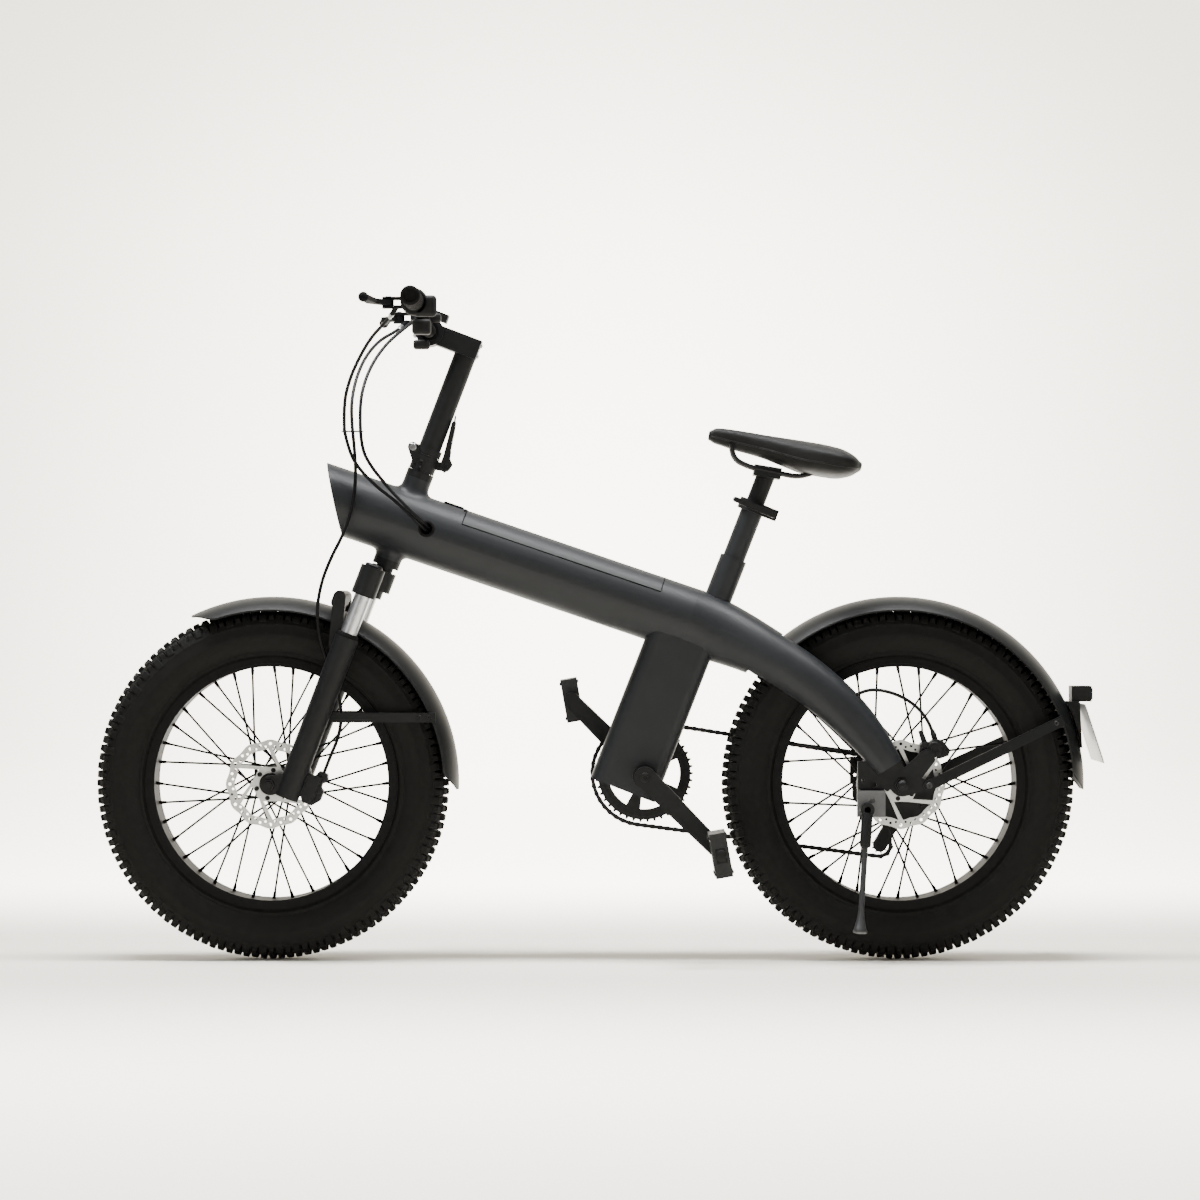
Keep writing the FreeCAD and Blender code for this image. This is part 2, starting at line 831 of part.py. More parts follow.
def make_main_frame():
    bay_radius = S.beam_radius - S.beam_wall
    outside = cylinder("beam_outside", S.beam_radius, S.nose_top_reach + S.beam_length,
                       beam(-S.nose_top_reach), BEAM_WAY)
    arms = feature("rear_arms", arms_solid())
    tower = feature("tower", tower_solid())
    sleeve = cylinder("seat_sleeve", S.sleeve_radius, S.sleeve_top - S.sleeve_bottom, seat(S.sleeve_bottom),
                      SEAT_UP)
    shell = fuse("frame_outside", outside, arms, tower, sleeve)
    bay = cylinder("battery_bay", bay_radius, S.nose_top_reach + S.bay_length, beam(-S.nose_top_reach),
                   BEAM_WAY)
    hollow = cut("frame_hollow", shell, bay)
    head = cylinder("head_tube", S.head_radius, S.head_top - S.head_bottom, steer(S.head_bottom), STEER_UP)
    seat_tube = cylinder("seat_tube", S.seat_tube_radius, S.seat_tube_top - S.sleeve_bottom,
                         seat(S.sleeve_bottom), SEAT_UP)
    solid = fuse("frame_solid", hollow, head, seat_tube)
    overrun = S.cut_overrun
    well_points = ((S.well_radius, S.well_half_width), (S.well_axle_half_width / 3, S.well_axle_half_width))
    (outer_radius, outer_half), (inner_radius, inner_half) = well_points
    well = feature("wheel_well", Part.Face(Part.makePolygon([
        vec(0, -inner_half, 0), vec(inner_radius, -inner_half, 0), vec(outer_radius, -outer_half, 0),
        vec(outer_radius, outer_half, 0), vec(inner_radius, inner_half, 0), vec(0, inner_half, 0),
        vec(0, -inner_half, 0)])).revolve(Vector(), ACROSS, 360))
    well.Placement = Placement(REAR_AXLE, Rotation())
    steerer_bore = cylinder("steerer_bore", S.steerer_radius + S.passing_gap * 2,
                            S.head_top - S.head_bottom + overrun * 2, steer(S.head_bottom - overrun),
                            STEER_UP)
    crank_bore = shaft("crank_bore", S.bracket_bore_radius, CRANK_AXIS,
                       -S.tower_half_width - overrun, S.tower_half_width + overrun)
    seat_bore = cylinder("seat_bore", S.seat_post_radius + S.fit_gap, S.seat_bore_depth + overrun,
                         seat(S.seat_tube_top - S.seat_bore_depth), SEAT_UP)
    lid_space = block("lid_space", S.lid_length, S.beam_radius * 2 + overrun,
                      S.beam_radius - S.lid_seam + overrun,
                      beam(S.lid_start + S.lid_length / 2, (S.lid_seam + S.beam_radius + overrun) / 2),
                      BEAM_TURN)
    notch = shaft("lid_notch", S.lid_knuckle_radius + S.passing_gap, LID_PIVOT,
                  -S.lid_knuckle_half - S.passing_gap, S.lid_knuckle_half + S.passing_gap)
    port = shaft("cable_port", S.cable_port_radius, beam(S.cable_port_along, S.cable_port_over),
                 -S.beam_radius - overrun, -S.head_radius - S.fit_gap)
    slots = feature("plate_slots", Part.makeCompound([plate_solid(side) for side in SIDES]))
    nose_cut = nose_box("nose_cut", S.nose_top_reach, -S.nose_top_reach)
    bored = cut("frame_bored", solid, well, steerer_bore, crank_bore, seat_bore, lid_space, notch, port,
                nose_cut)
    slotted = cut("frame_slotted", bored, slots)
    lid_pin = shaft("lid_pin", S.lid_pin_radius, LID_PIVOT, -S.lid_pin_half, S.lid_pin_half)
    whole = fuse("main_frame_solid", slotted, lid_pin)
    whole.Refine = False
    return node(whole, "main_frame")


def make_battery_bay():
    bay_radius = S.beam_radius - S.beam_wall
    outside = cylinder("lid_outside", S.beam_radius, S.lid_length - S.passing_gap * 2,
                       beam(S.lid_start + S.passing_gap), BEAM_WAY)
    inside = cylinder("lid_inside", bay_radius, S.lid_length, beam(S.lid_start), BEAM_WAY)
    over = block("lid_over", S.lid_length, S.beam_radius * 2, S.beam_radius - S.lid_seam,
                 beam(S.lid_start + S.lid_length / 2, (S.lid_seam + S.beam_radius) / 2 + S.passing_gap),
                 BEAM_TURN)
    panel = common("lid_panel", cut("lid_shell", outside, inside), over)
    knuckle = shaft("lid_knuckle", S.lid_knuckle_radius, LID_PIVOT, -S.lid_knuckle_half, S.lid_knuckle_half)
    web_length = S.lid_hinge_ahead * 3
    web = block("lid_web", web_length, S.lid_knuckle_half * 2, S.lid_pin_radius,
                beam(S.lid_start - S.lid_hinge_ahead + web_length / 2, S.lid_hinge_over), BEAM_TURN)
    bore = shaft("lid_bore", S.lid_pin_radius + S.running_gap, LID_PIVOT, -S.lid_knuckle_half,
                 S.lid_knuckle_half)
    node(cut("lid_solid", fuse("lid_parts", panel, knuckle, web), bore), "battery_lid")

    floor_over = -math.sqrt((bay_radius - S.fit_gap) ** 2 - S.pack_half_width ** 2)
    pack_middle = S.lid_start + S.lid_length / 2
    node(block("pack_solid", S.pack_length, S.pack_half_width * 2, S.pack_top - floor_over,
               beam(pack_middle, (S.pack_top + floor_over) / 2), BEAM_TURN), "battery_pack")

    lamp_round = cylinder("lamp_round", bay_radius - S.fit_gap, S.nose_top_reach, beam(-S.nose_top_reach),
                          BEAM_WAY)
    node(common("lamp_solid", lamp_round, nose_box("lamp_slab", S.lamp_depth, S.lamp_recess)), "headlight")


def make_bearings():
    rings = []
    for place in (S.head_bottom - S.cup_height, S.head_top):
        ring = cylinder(f"cup_{float(place):.0f}", S.head_radius, S.cup_height, steer(place), STEER_UP)
        bore = cylinder(f"cup_bore_{float(place):.0f}", S.steerer_radius + S.running_gap, S.cup_height,
                        steer(place), STEER_UP)
        rings.append(cut(f"headset_{float(place):.0f}", ring, bore))
    reach = S.tower_half_width + S.bracket_overhang
    shell = shaft("bracket_shell", S.bracket_bore_radius - S.fit_gap / 2, CRANK_AXIS, -reach, reach)
    bore = shaft("spindle_bore", S.spindle_radius + S.running_gap, CRANK_AXIS, -reach, reach)
    rings.append(cut("bottom_bracket", shell, bore))
    node(group("bearing_group", *rings), "bearings")


def make_rear_end():
    plates = [feature(f"plate_{side}", plate_solid(side)) for side in SIDES]
    node(group("plate_pair", *plates), "dropout_plates")

    outer = S.plate_inner + S.plate_thickness
    bars = [shaft("rear_axle_bar", S.rear_axle_radius, REAR_AXLE, -S.rear_axle_half, S.rear_axle_half)]
    bars.append(shaft("left_shoulder", S.axle_shoulder_radius, REAR_AXLE,
                      -S.plate_inner, -S.rear_rotor_side - S.rotor_thickness - S.passing_gap))
    bars.append(shaft("right_shoulder", S.axle_shoulder_radius, REAR_AXLE, CASSETTE_END + S.passing_gap,
                      S.plate_inner))
    for side in SIDES:
        start = outer if side > 0 else -outer - S.nut_thickness
        nut = doc.addObject("Part::Prism", f"rear_nut_{side}")
        nut.Polygon = 6
        bind(nut, Circumradius=S.rear_nut_radius, Height=S.nut_thickness)
        nut.Placement = Placement(aside(REAR_AXLE, start), Rotation(UP, ACROSS))
        bars.append(nut)
    node(fuse("rear_axle_solid", *bars), "rear_axle")


CASSETTE_END = S.chain_line + S.cog_spacing + S.cog_thickness / 2


# Wheels

TREAD_PITCHES = 62
# Rows of blocks on each half: inner and outer side, length along the tread in pitches, offset in pitches
TREAD_ROW_SHARES = ((0.06, 0.39, 0.62, 0), (0.445, 0.72, 0.48, 0.5), (0.775, 1.01, 0.55, 0))


def tread_blocks(shoulder):
    """Staggered blocks whose tops lie on the crowned tread and whose roots lie inside the carcass."""
    sagitta = S.tyre_radius - shoulder
    crown_radius = (sagitta ** 2 + S.tread_half_width ** 2) / (2 * sagitta)
    crown_centre = S.tyre_radius - crown_radius
    pitch = 2 * math.pi * S.tyre_radius / TREAD_PITCHES
    depth = S.tread_block_height + S.tread_block_root
    blocks = []
    for inner_share, outer_share, length_share, offset_share in TREAD_ROW_SHARES:
        length = pitch * length_share
        for side in SIDES:
            tops = []
            roots = []
            for side_share in (inner_share, outer_share):
                y = side * S.tread_half_width * side_share
                crown = crown_centre + math.sqrt(crown_radius ** 2 - y ** 2)
                top = math.sqrt(crown ** 2 - (length / 2) ** 2)
                tops.append(vec(top, y, -length / 2))
                roots.insert(0, vec(top - depth, y, -length / 2))
            corners = tops + roots
            first = Part.Face(Part.makePolygon(corners + corners[:1])).extrude(vec(0, 0, length))
            for this in range(TREAD_PITCHES):
                turn_share = this + offset_share + (0.5 if side > 0 else 0)
                block_copy = first.copy()
                block_copy.rotate(Vector(), ACROSS, 360 * turn_share / TREAD_PITCHES)
                blocks.append(block_copy)
    return blocks


def tyre_solid():
    """A fat carcass: beads between the rim's flanges, bulged walls and a crowned tread of blocks."""
    bulge_share, shoulder_share = 0.415, 0.83
    height = S.tyre_radius - S.rim_radius
    bulge = S.rim_radius + height * bulge_share
    shoulder = S.rim_radius + height * shoulder_share
    base_shoulder = shoulder - S.tread_block_height
    base_half = S.tread_half_width + S.tyre_wall / 2
    base_crown = S.tyre_radius - S.tread_block_height
    bead = S.rim_half_width - S.rim_flange - S.fit_gap
    bead_radius = RIM_INNER + S.rim_floor + S.fit_gap
    inner_tread = S.tread_half_width - S.tyre_wall / 2
    inner_shoulder = base_shoulder - S.tyre_wall

    def at(radius, y):
        return vec(radius, y, 0)

    outer = [
        edge(at(bead_radius, -bead), at(S.rim_radius, -bead)),
        arc(at(S.rim_radius, -bead), at(bulge, -S.tyre_half_width), at(base_shoulder, -base_half)),
        arc(at(base_shoulder, -base_half), at(base_crown, 0), at(base_shoulder, base_half)),
        arc(at(base_shoulder, base_half), at(bulge, S.tyre_half_width), at(S.rim_radius, bead)),
        edge(at(S.rim_radius, bead), at(bead_radius, bead)),
    ]
    lip = bead - S.tyre_wall
    wall = S.tyre_half_width - S.tyre_wall
    inner = [
        edge(at(bead_radius, bead), at(bead_radius, lip)),
        edge(at(bead_radius, lip), at(S.rim_radius, lip)),
        arc(at(S.rim_radius, lip), at(bulge, wall), at(inner_shoulder, inner_tread)),
        arc(at(inner_shoulder, inner_tread), at(S.tyre_radius - S.tread_thickness, 0),
            at(inner_shoulder, -inner_tread)),
        arc(at(inner_shoulder, -inner_tread), at(bulge, -wall), at(S.rim_radius, -lip)),
        edge(at(S.rim_radius, -lip), at(bead_radius, -lip)),
        edge(at(bead_radius, -lip), at(bead_radius, -bead)),
    ]
    carcass = Part.Face(Part.Wire(outer + inner)).revolve(Vector(), ACROSS, 360)
    return carcass.multiFuse(tread_blocks(shoulder)).Solids[0]


def spokes_compound(flange_radius, flange_side, cross):
    """Crossed spokes from both flanges to the rim, seated in each."""
    spokes = []
    each_side = SPOKES // 2
    for side in SIDES:
        for this in range(each_side):
            lean = 1 if this % 2 else -1
            rim_angle = 2 * math.pi * (this + (0.5 if side > 0 else 0)) / each_side
            hub_angle = rim_angle + lean * math.radians(cross)
            hub_y = side * (flange_side + lean * S.spoke_stagger / 2)
            hub_radius = flange_radius - S.spoke_seat
            rim_radius = RIM_INNER + S.spoke_seat
            start = vec(hub_radius * math.cos(hub_angle), hub_y, hub_radius * math.sin(hub_angle))
            end = vec(rim_radius * math.cos(rim_angle), side * S.spoke_rim_side,
                      rim_radius * math.sin(rim_angle))
            spokes.append(Part.makeCylinder(S.spoke_radius, (end - start).Length, start, end - start))
    return Part.makeCompound(spokes)


def make_rotor(name, centre, side_y):
    """A brake disc: band, slanted arms and bolt ring. The disc lies square to Y."""
    body = doc.addObject("PartDesign::Body", f"{name}_body")
    rings = ringed(body, f"{name}_rings", "XY_Plane", [(0, 0, S.rotor_radius), (0, 0, S.rotor_bore_radius)])
    pad = body.newObject("PartDesign::Pad", f"{name}_pad")
    pad.Profile = rings
    bind(pad, Length=S.rotor_thickness)
    pad.Midplane = True
    doc.recompute()
    window_shares = ((0.04, 0), (0.75, 0), (1.1, 1), (0.75, 1), (0.39, 1))
    corners = []
    for turn_share, reach_share in window_shares:
        angle = 2 * math.pi * turn_share / ROTOR_ARMS
        radius = S.rotor_hub_radius + (S.rotor_radius - S.rotor_band - S.rotor_hub_radius) * reach_share
        corners.append((radius * math.cos(angle), radius * math.sin(angle)))
    pocket_round(body, f"{name}_window", sketched(body, f"{name}_window_outline", "XY_Plane", corners),
                 ROTOR_ARMS)
    hole = ringed(body, f"{name}_hole_ring", "XY_Plane",
                  [(S.rotor_radius - S.rotor_band / 2, 0, S.rotor_hole_radius)])
    pocket_round(body, f"{name}_hole", hole, ROTOR_HOLES)
    body.Placement = Placement(aside(centre, side_y), Rotation(Vector(1, 0, 0), 90))
    node(body, name)


def make_wheel(name, centre, tyre_shape, hub, flange_radius, flange_side, cross, rotor_side):
    tyre = feature(f"{name}_tyre_solid", tyre_shape)
    tyre.Placement = Placement(centre, Rotation())
    node(tyre, f"{name}_tyre")
    wall = S.rim_half_width - S.rim_flange
    floor = RIM_INNER + S.rim_floor
    node(revolved(f"{name}_rim_body", [
        (RIM_INNER, -S.rim_half_width), (S.rim_radius, -S.rim_half_width), (S.rim_radius, -wall),
        (floor, -wall), (floor, wall), (S.rim_radius, wall), (S.rim_radius, S.rim_half_width),
        (RIM_INNER, S.rim_half_width)], centre), f"{name}_rim")
    spokes = feature(f"{name}_spoke_group", spokes_compound(flange_radius, flange_side, cross))
    spokes.Placement = Placement(centre, Rotation())
    node(spokes, f"{name}_spokes")
    node(hub, f"{name}_hub")
    make_rotor(f"{name}_rotor", centre, -rotor_side - S.rotor_thickness / 2)


def hub_solid(name, centre, barrel_radius, barrel_half, flange_radius, flange_side, left, right, axle_radius):
    half_flange = S.flange_thickness / 2
    pieces = [shaft(f"{name}_barrel", barrel_radius, centre, -barrel_half, barrel_half)]
    for side in SIDES:
        middle = side * flange_side
        pieces.append(shaft(f"{name}_flange_{side}", flange_radius, centre, middle - half_flange,
                            middle + half_flange))
    pieces.append(shaft(f"{name}_core", S.rotor_seat_radius, centre, left, right))
    bore = shaft(f"{name}_bore", axle_radius + S.running_gap, centre, left - S.cut_overrun,
                 right + S.cut_overrun)
    return cut(f"{name}_hub_solid", fuse(f"{name}_hub_parts", *pieces), bore)


def make_wheels():
    tyre_shape = tyre_solid()
    front_hub = hub_solid("front", FRONT_AXLE, S.front_barrel_radius, S.front_flange_side,
                          S.front_flange_radius,
                          S.front_flange_side, -S.front_rotor_side, S.front_flange_side + S.flange_thickness,
                          S.front_axle_radius)
    make_wheel("front", FRONT_AXLE, tyre_shape, front_hub, S.front_flange_radius, S.front_flange_side, 62,
               S.front_rotor_side)
    rear_hub = hub_solid("rear", REAR_AXLE, S.motor_radius, S.motor_half_width, S.rear_flange_radius,
                         S.rear_flange_side, -S.rear_rotor_side, S.hub_right_end, S.rear_axle_radius)
    make_wheel("rear", REAR_AXLE, tyre_shape, rear_hub, S.rear_flange_radius, S.rear_flange_side, 30,
               S.rear_rotor_side)

    inner = S.axle_lug_inner
    bars = [shaft("front_axle_bar", S.front_axle_radius, FRONT_AXLE, -S.front_axle_half, S.front_axle_half)]
    bars.append(shaft("front_left_cone", S.front_barrel_radius, FRONT_AXLE,
                      -inner, -S.front_rotor_side - S.rotor_thickness - S.passing_gap))
    bars.append(shaft("front_right_cone", S.front_barrel_radius, FRONT_AXLE,
                      S.front_flange_side + S.flange_thickness + S.passing_gap, inner))
    for side in SIDES:
        start = S.axle_lug_outer if side > 0 else -S.axle_lug_outer - S.nut_thickness
        nut = doc.addObject("Part::Prism", f"front_nut_{side}")
        nut.Polygon = 6
        bind(nut, Circumradius=S.front_nut_radius, Height=S.nut_thickness)
        nut.Placement = Placement(aside(FRONT_AXLE, start), Rotation(UP, ACROSS))
        bars.append(nut)
    node(fuse("front_axle_solid", *bars), "front_axle")


# Chain drive

def driven_tip(teeth):
    """The tooth tip that passes under the chain's rollers at every angle."""
    return pitch_radius(teeth) - S.chain_half_height - S.passing_gap


GUIDE = REAR_AXLE + vec(S.guide_back, 0, -S.guide_below)
TENSION = REAR_AXLE + vec(-S.tension_ahead, 0, -S.tension_below)


def chain_solid():
    """A closed band round the chainring, the driven cog and the two pulleys."""
    wheels = [(CRANK_AXIS, pitch_radius(CHAINRING_TEETH), -1),
              (REAR_AXLE, pitch_radius(DRIVEN_COG_TEETH), -1),
              (GUIDE, pitch_radius(PULLEY_TEETH), 1), (TENSION, pitch_radius(PULLEY_TEETH), -1)]
    count = len(wheels)
    runs = []
    for this in range(count):
        first, first_radius, first_way = wheels[this]
        second, second_radius, second_way = wheels[(this + 1) % count]
        span = second - first
        lean = math.asin((second_way * second_radius - first_way * first_radius) / span.Length)
        heading = math.atan2(span.z, span.x) - lean
        left = vec(-math.sin(heading), 0, math.cos(heading))
        start = first - left * (first_way * first_radius)
        end = second - left * (second_way * second_radius)
        runs.append((start, end))
    edges = []
    for this in range(count):
        centre, radius, way = wheels[this]
        arrive = runs[this - 1][1]
        leave = runs[this][0]
        start_angle = math.atan2(arrive.z - centre.z, arrive.x - centre.x)
        end_angle = math.atan2(leave.z - centre.z, leave.x - centre.x)
        sweep = (end_angle - start_angle) * way % (2 * math.pi)
        half = start_angle + way * sweep / 2
        middle = vec(centre.x + radius * math.cos(half), 0, centre.z + radius * math.sin(half))
        edges.append(arc(arrive, middle, leave))
        edges.append(edge(*runs[this]))
    line = Part.Wire(edges)
    outer = line.makeOffset2D(S.chain_half_height)
    inner = line.makeOffset2D(-S.chain_half_height)
    wires = sorted((outer, inner), key=lambda wire: wire.BoundBox.DiagonalLength, reverse=True)
    band = Part.Face(wires[0]).cut(Part.Face(wires[1])).extrude(vec(0, S.chain_half_width * 2, 0))
    band.translate(vec(0, S.chain_line - S.chain_half_width, 0))
    return band


def make_drive():
    node(feature("chain_band", chain_solid()), "chain")

    low = S.chain_line - S.chainring_thickness / 2
    disc = feature("chainring_disc", toothed_solid(CHAINRING_TEETH, driven_tip(CHAINRING_TEETH),
                                                   S.chainring_thickness, low, CRANK_AXIS))
    windows = []
    for this in range(CHAINRING_WINDOWS):
        window = chainring_window(low, 2 * math.pi * this / CHAINRING_WINDOWS)
        windows.append(feature(f"chainring_window_{this}", window))
    seat_boss = shaft("chainring_seat", S.chainring_seat_radius, CRANK_AXIS, low, S.crank_inner)
    bore = shaft("chainring_bore", S.spindle_radius + S.fit_gap / 2, CRANK_AXIS, low, S.crank_inner)
    plain = cut("chainring_open", disc, *windows)
    node(cut("chainring_solid", fuse("chainring_parts", plain, seat_boss), bore), "chainring")

    cogs = []
    for this, teeth in enumerate(CASSETTE_TEETH):
        middle = S.chain_line + S.cog_spacing * (CASSETTE_TEETH.index(DRIVEN_COG_TEETH) - this)
        cogs.append(feature(f"cog_{teeth}", toothed_solid(teeth, driven_tip(teeth), S.cog_thickness,
                                                          middle - S.cog_thickness / 2, REAR_AXLE)))
    core_start = S.hub_right_end + S.passing_gap
    cogs.append(shaft("cassette_core", S.cassette_core_radius, REAR_AXLE, core_start, CASSETTE_END))
    bore = shaft("cassette_bore", S.rear_axle_radius + S.running_gap, REAR_AXLE, core_start, CASSETTE_END)
    node(cut("cassette_solid", fuse("cassette_parts", *cogs), bore), "cassette")

    drop = math.radians(S.crank_drop)
    reach = vec(math.cos(drop), 0, -math.sin(drop)) * S.crank_length
    outer = S.crank_inner + S.crank_thickness
    for side, name in ((-1, "left"), (1, "right")):
        end = CRANK_AXIS + reach * -side
        low, high = (S.crank_inner, outer) if side > 0 else (-outer, -S.crank_inner)
        arm = link(f"{name}_crank_arm", CRANK_AXIS, S.crank_boss_radius, end, S.crank_end_radius, low, high)
        pedal_axle_end = outer + S.pedal_gap + S.pedal_width
        axle_low, axle_high = (outer, pedal_axle_end) if side > 0 else (-pedal_axle_end, -outer)
        axle = shaft(f"{name}_pedal_axle", S.pedal_axle_radius, end, axle_low, axle_high)
        pieces = [arm, axle]
        if side > 0:
            pieces.append(shaft("spindle", S.spindle_radius, CRANK_AXIS, -S.crank_inner, S.crank_inner))
        node(fuse(f"{name}_crank_solid", *pieces), f"{name}_crank")
        make_pedal(name, end, side * (outer + S.pedal_gap + S.pedal_width / 2))


def chainring_window(low, angle):
    """One opening of the chainring between two spider arms."""
    edge_share = 0.34
    span = 2 * math.pi / CHAINRING_WINDOWS

    def at(radius, turn_share):
        turn = angle + span * turn_share
        return vec(CRANK_AXIS.x + radius * math.cos(turn), low, CRANK_AXIS.z + radius * math.sin(turn))

    inner, outer = S.chainring_spider_radius, S.chainring_window_radius
    outline = Part.Wire([
        arc(at(inner, -edge_share), at(inner, 0), at(inner, edge_share)),
        edge(at(inner, edge_share), at(outer, edge_share)),
        arc(at(outer, edge_share), at(outer, 0), at(outer, -edge_share)),
        edge(at(outer, -edge_share), at(inner, -edge_share))])
    return Part.Face(outline).extrude(vec(0, S.chainring_thickness, 0))


def make_pedal(name, centre, middle_y):
    """A platform pedal: two rails and end bars round a core that turns on the axle."""
    turn = Rotation(ACROSS, S.pedal_tilt)
    middle = aside(centre, middle_y)
    body = block(f"{name}_pedal_block", S.pedal_length, S.pedal_width, S.pedal_thickness, middle, turn)
    window_length = S.pedal_length - S.pedal_rail * 2
    window = block(f"{name}_pedal_window", window_length, S.pedal_width - S.pedal_rail * 2,
                   S.pedal_thickness + S.cut_overrun, middle, turn)
    low, high = middle_y - S.pedal_width / 2, middle_y + S.pedal_width / 2
    core = shaft(f"{name}_pedal_core", S.pedal_core_radius, centre, low, high)
    frame = fuse(f"{name}_pedal_frame", cut(f"{name}_pedal_open", body, window), core)
    bore = shaft(f"{name}_pedal_bore", S.pedal_axle_radius + S.running_gap, centre,
                 low - S.cut_overrun, high + S.cut_overrun)
    node(cut(f"{name}_pedal_solid", frame, bore), f"{name}_pedal")


def make_derailleur():
    inner_face = S.chain_line - S.cage_side
    outer_face = S.chain_line + S.cage_side
    arm_end = outer_face + S.cage_thickness + S.derailleur_arm_thickness
    pieces = [
        link("cage_inner", GUIDE, S.cage_radius, TENSION, S.cage_radius, inner_face - S.cage_thickness,
             inner_face),
        link("cage_outer", GUIDE, S.cage_radius, TENSION, S.cage_radius, outer_face,
             outer_face + S.cage_thickness),
        link("derailleur_arm", GUIDE, S.cage_radius, HANGER, S.hanger_radius, outer_face + S.cage_thickness,
             arm_end),
        shaft("hanger_bolt", S.hanger_radius, HANGER, arm_end, S.plate_inner),
    ]
    for name, centre in (("guide", GUIDE), ("tension", TENSION)):
        pieces.append(shaft(f"{name}_pin", S.pulley_pin_radius, centre, inner_face, outer_face))
        disc = feature(f"{name}_disc", toothed_solid(PULLEY_TEETH, driven_tip(PULLEY_TEETH), S.pulley_thickness,
                                                     S.chain_line - S.pulley_thickness / 2, centre))
        sleeve = shaft(f"{name}_sleeve", S.pulley_pin_radius * 2, centre,
                       inner_face + S.passing_gap, outer_face - S.passing_gap)
        bore = shaft(f"{name}_bore", S.pulley_pin_radius + S.running_gap, centre, inner_face, outer_face)
        node(cut(f"{name}_pulley_solid", fuse(f"{name}_pulley_parts", disc, sleeve), bore), f"{name}_pulley")
    node(fuse("derailleur_solid", *pieces), "derailleur")


# Fork

def make_fork():
    bridge_height = S.crown_top - S.crown_bridge_bottom
    pieces = [block("crown_bridge", S.crown_bridge_half * 2, S.leg_side * 2, bridge_height,
                    steer(S.crown_bridge_bottom + bridge_height / 2, -S.leg_ahead), STEER_TURN)]
    stanchions = []
    legs = []
    for side in SIDES:
        y = side * S.leg_side
        pieces.append(cylinder(f"crown_boss_{side}", S.crown_boss_radius, S.crown_top - S.crown_bottom,
                               steer(S.crown_bottom, -S.leg_ahead, y), STEER_UP))
        stanchions.append(cylinder(f"stanchion_{side}", S.stanchion_radius, S.crown_top - S.stanchion_bottom,
                                   steer(S.stanchion_bottom, -S.leg_ahead, y), STEER_UP))
        legs.append(fork_leg(side, y))
    pieces.append(cylinder("crown_seat", S.head_radius, bridge_height, steer(S.crown_bridge_bottom),
                           STEER_UP))
    pieces.append(cylinder("steerer", S.steerer_radius, S.steerer_top - S.crown_bridge_bottom,
                           steer(S.crown_bridge_bottom), STEER_UP))
    bores = [cylinder(f"crown_bore_{side}", S.stanchion_radius, S.crown_top - S.crown_bottom,
                      steer(S.crown_bottom, -S.leg_ahead, side * S.leg_side), STEER_UP) for side in SIDES]
    node(cut("crown_solid", fuse("crown_parts", *pieces), *bores), "fork_crown")
    node(group("stanchion_pair", *stanchions), "stanchions")

    crest_rise = S.fender_radius + S.arch_radius + S.fit_gap
    foot = steer(S.arch_foot_rise, -S.arch_foot_ahead)
    crest = steer(crest_rise, -S.arch_crest_ahead)
    top = steer(crest_rise + S.arch_crest_rise, -S.arch_crest_ahead)
    for side in SIDES:
        low, high = (S.arch_inner, S.arch_outer) if side > 0 else (-S.arch_outer, -S.arch_inner)
        legs.append(link(f"arch_upright_{side}", foot, S.arch_radius, top, S.arch_radius, low, high))
    legs.append(link("arch_crest", crest, S.arch_radius, top, S.arch_radius, -S.arch_outer, S.arch_outer))
    lug_low = -S.caliper_outer - S.caliper_lug_width
    legs.append(block("caliper_lug", S.caliper_lug_back, S.caliper_lug_width, S.caliper_lug_height,
                      steer(S.caliper_lug_height / 2, S.caliper_lug_back / 2 - S.leg_ahead / 2,
                            (lug_low - S.caliper_outer) / 2), STEER_TURN))
    bores = []
    for side in SIDES:
        bores.append(cylinder(f"leg_bore_{side}", S.stanchion_radius + S.slide_gap,
                              S.leg_top - S.leg_bore_bottom + S.cut_overrun,
                              steer(S.leg_bore_bottom, -S.leg_ahead, side * S.leg_side), STEER_UP))
    bores.append(shaft("front_axle_hole", S.front_axle_radius + S.fit_gap, FRONT_AXLE,
                       -S.axle_lug_outer, S.axle_lug_outer))
    node(cut("lowers_solid", fuse("lowers_parts", *legs), *bores), "fork_lowers")


def fork_leg(side, y):
    """One lower leg with its lug for the axle."""
    low, high = (S.axle_lug_inner, S.axle_lug_outer) if side > 0 else (-S.axle_lug_outer, -S.axle_lug_inner)
    tube = cylinder(f"leg_{side}", S.leg_radius, S.leg_top - S.leg_bottom,
                    steer(S.leg_bottom, -S.leg_ahead, y), STEER_UP)
    lug = link(f"axle_lug_{side}", FRONT_AXLE, S.axle_lug_radius,
               steer(S.axle_lug_leg_radius, -S.leg_ahead), S.axle_lug_leg_radius, low, high)
    return fuse(f"leg_whole_{side}", tube, lug)


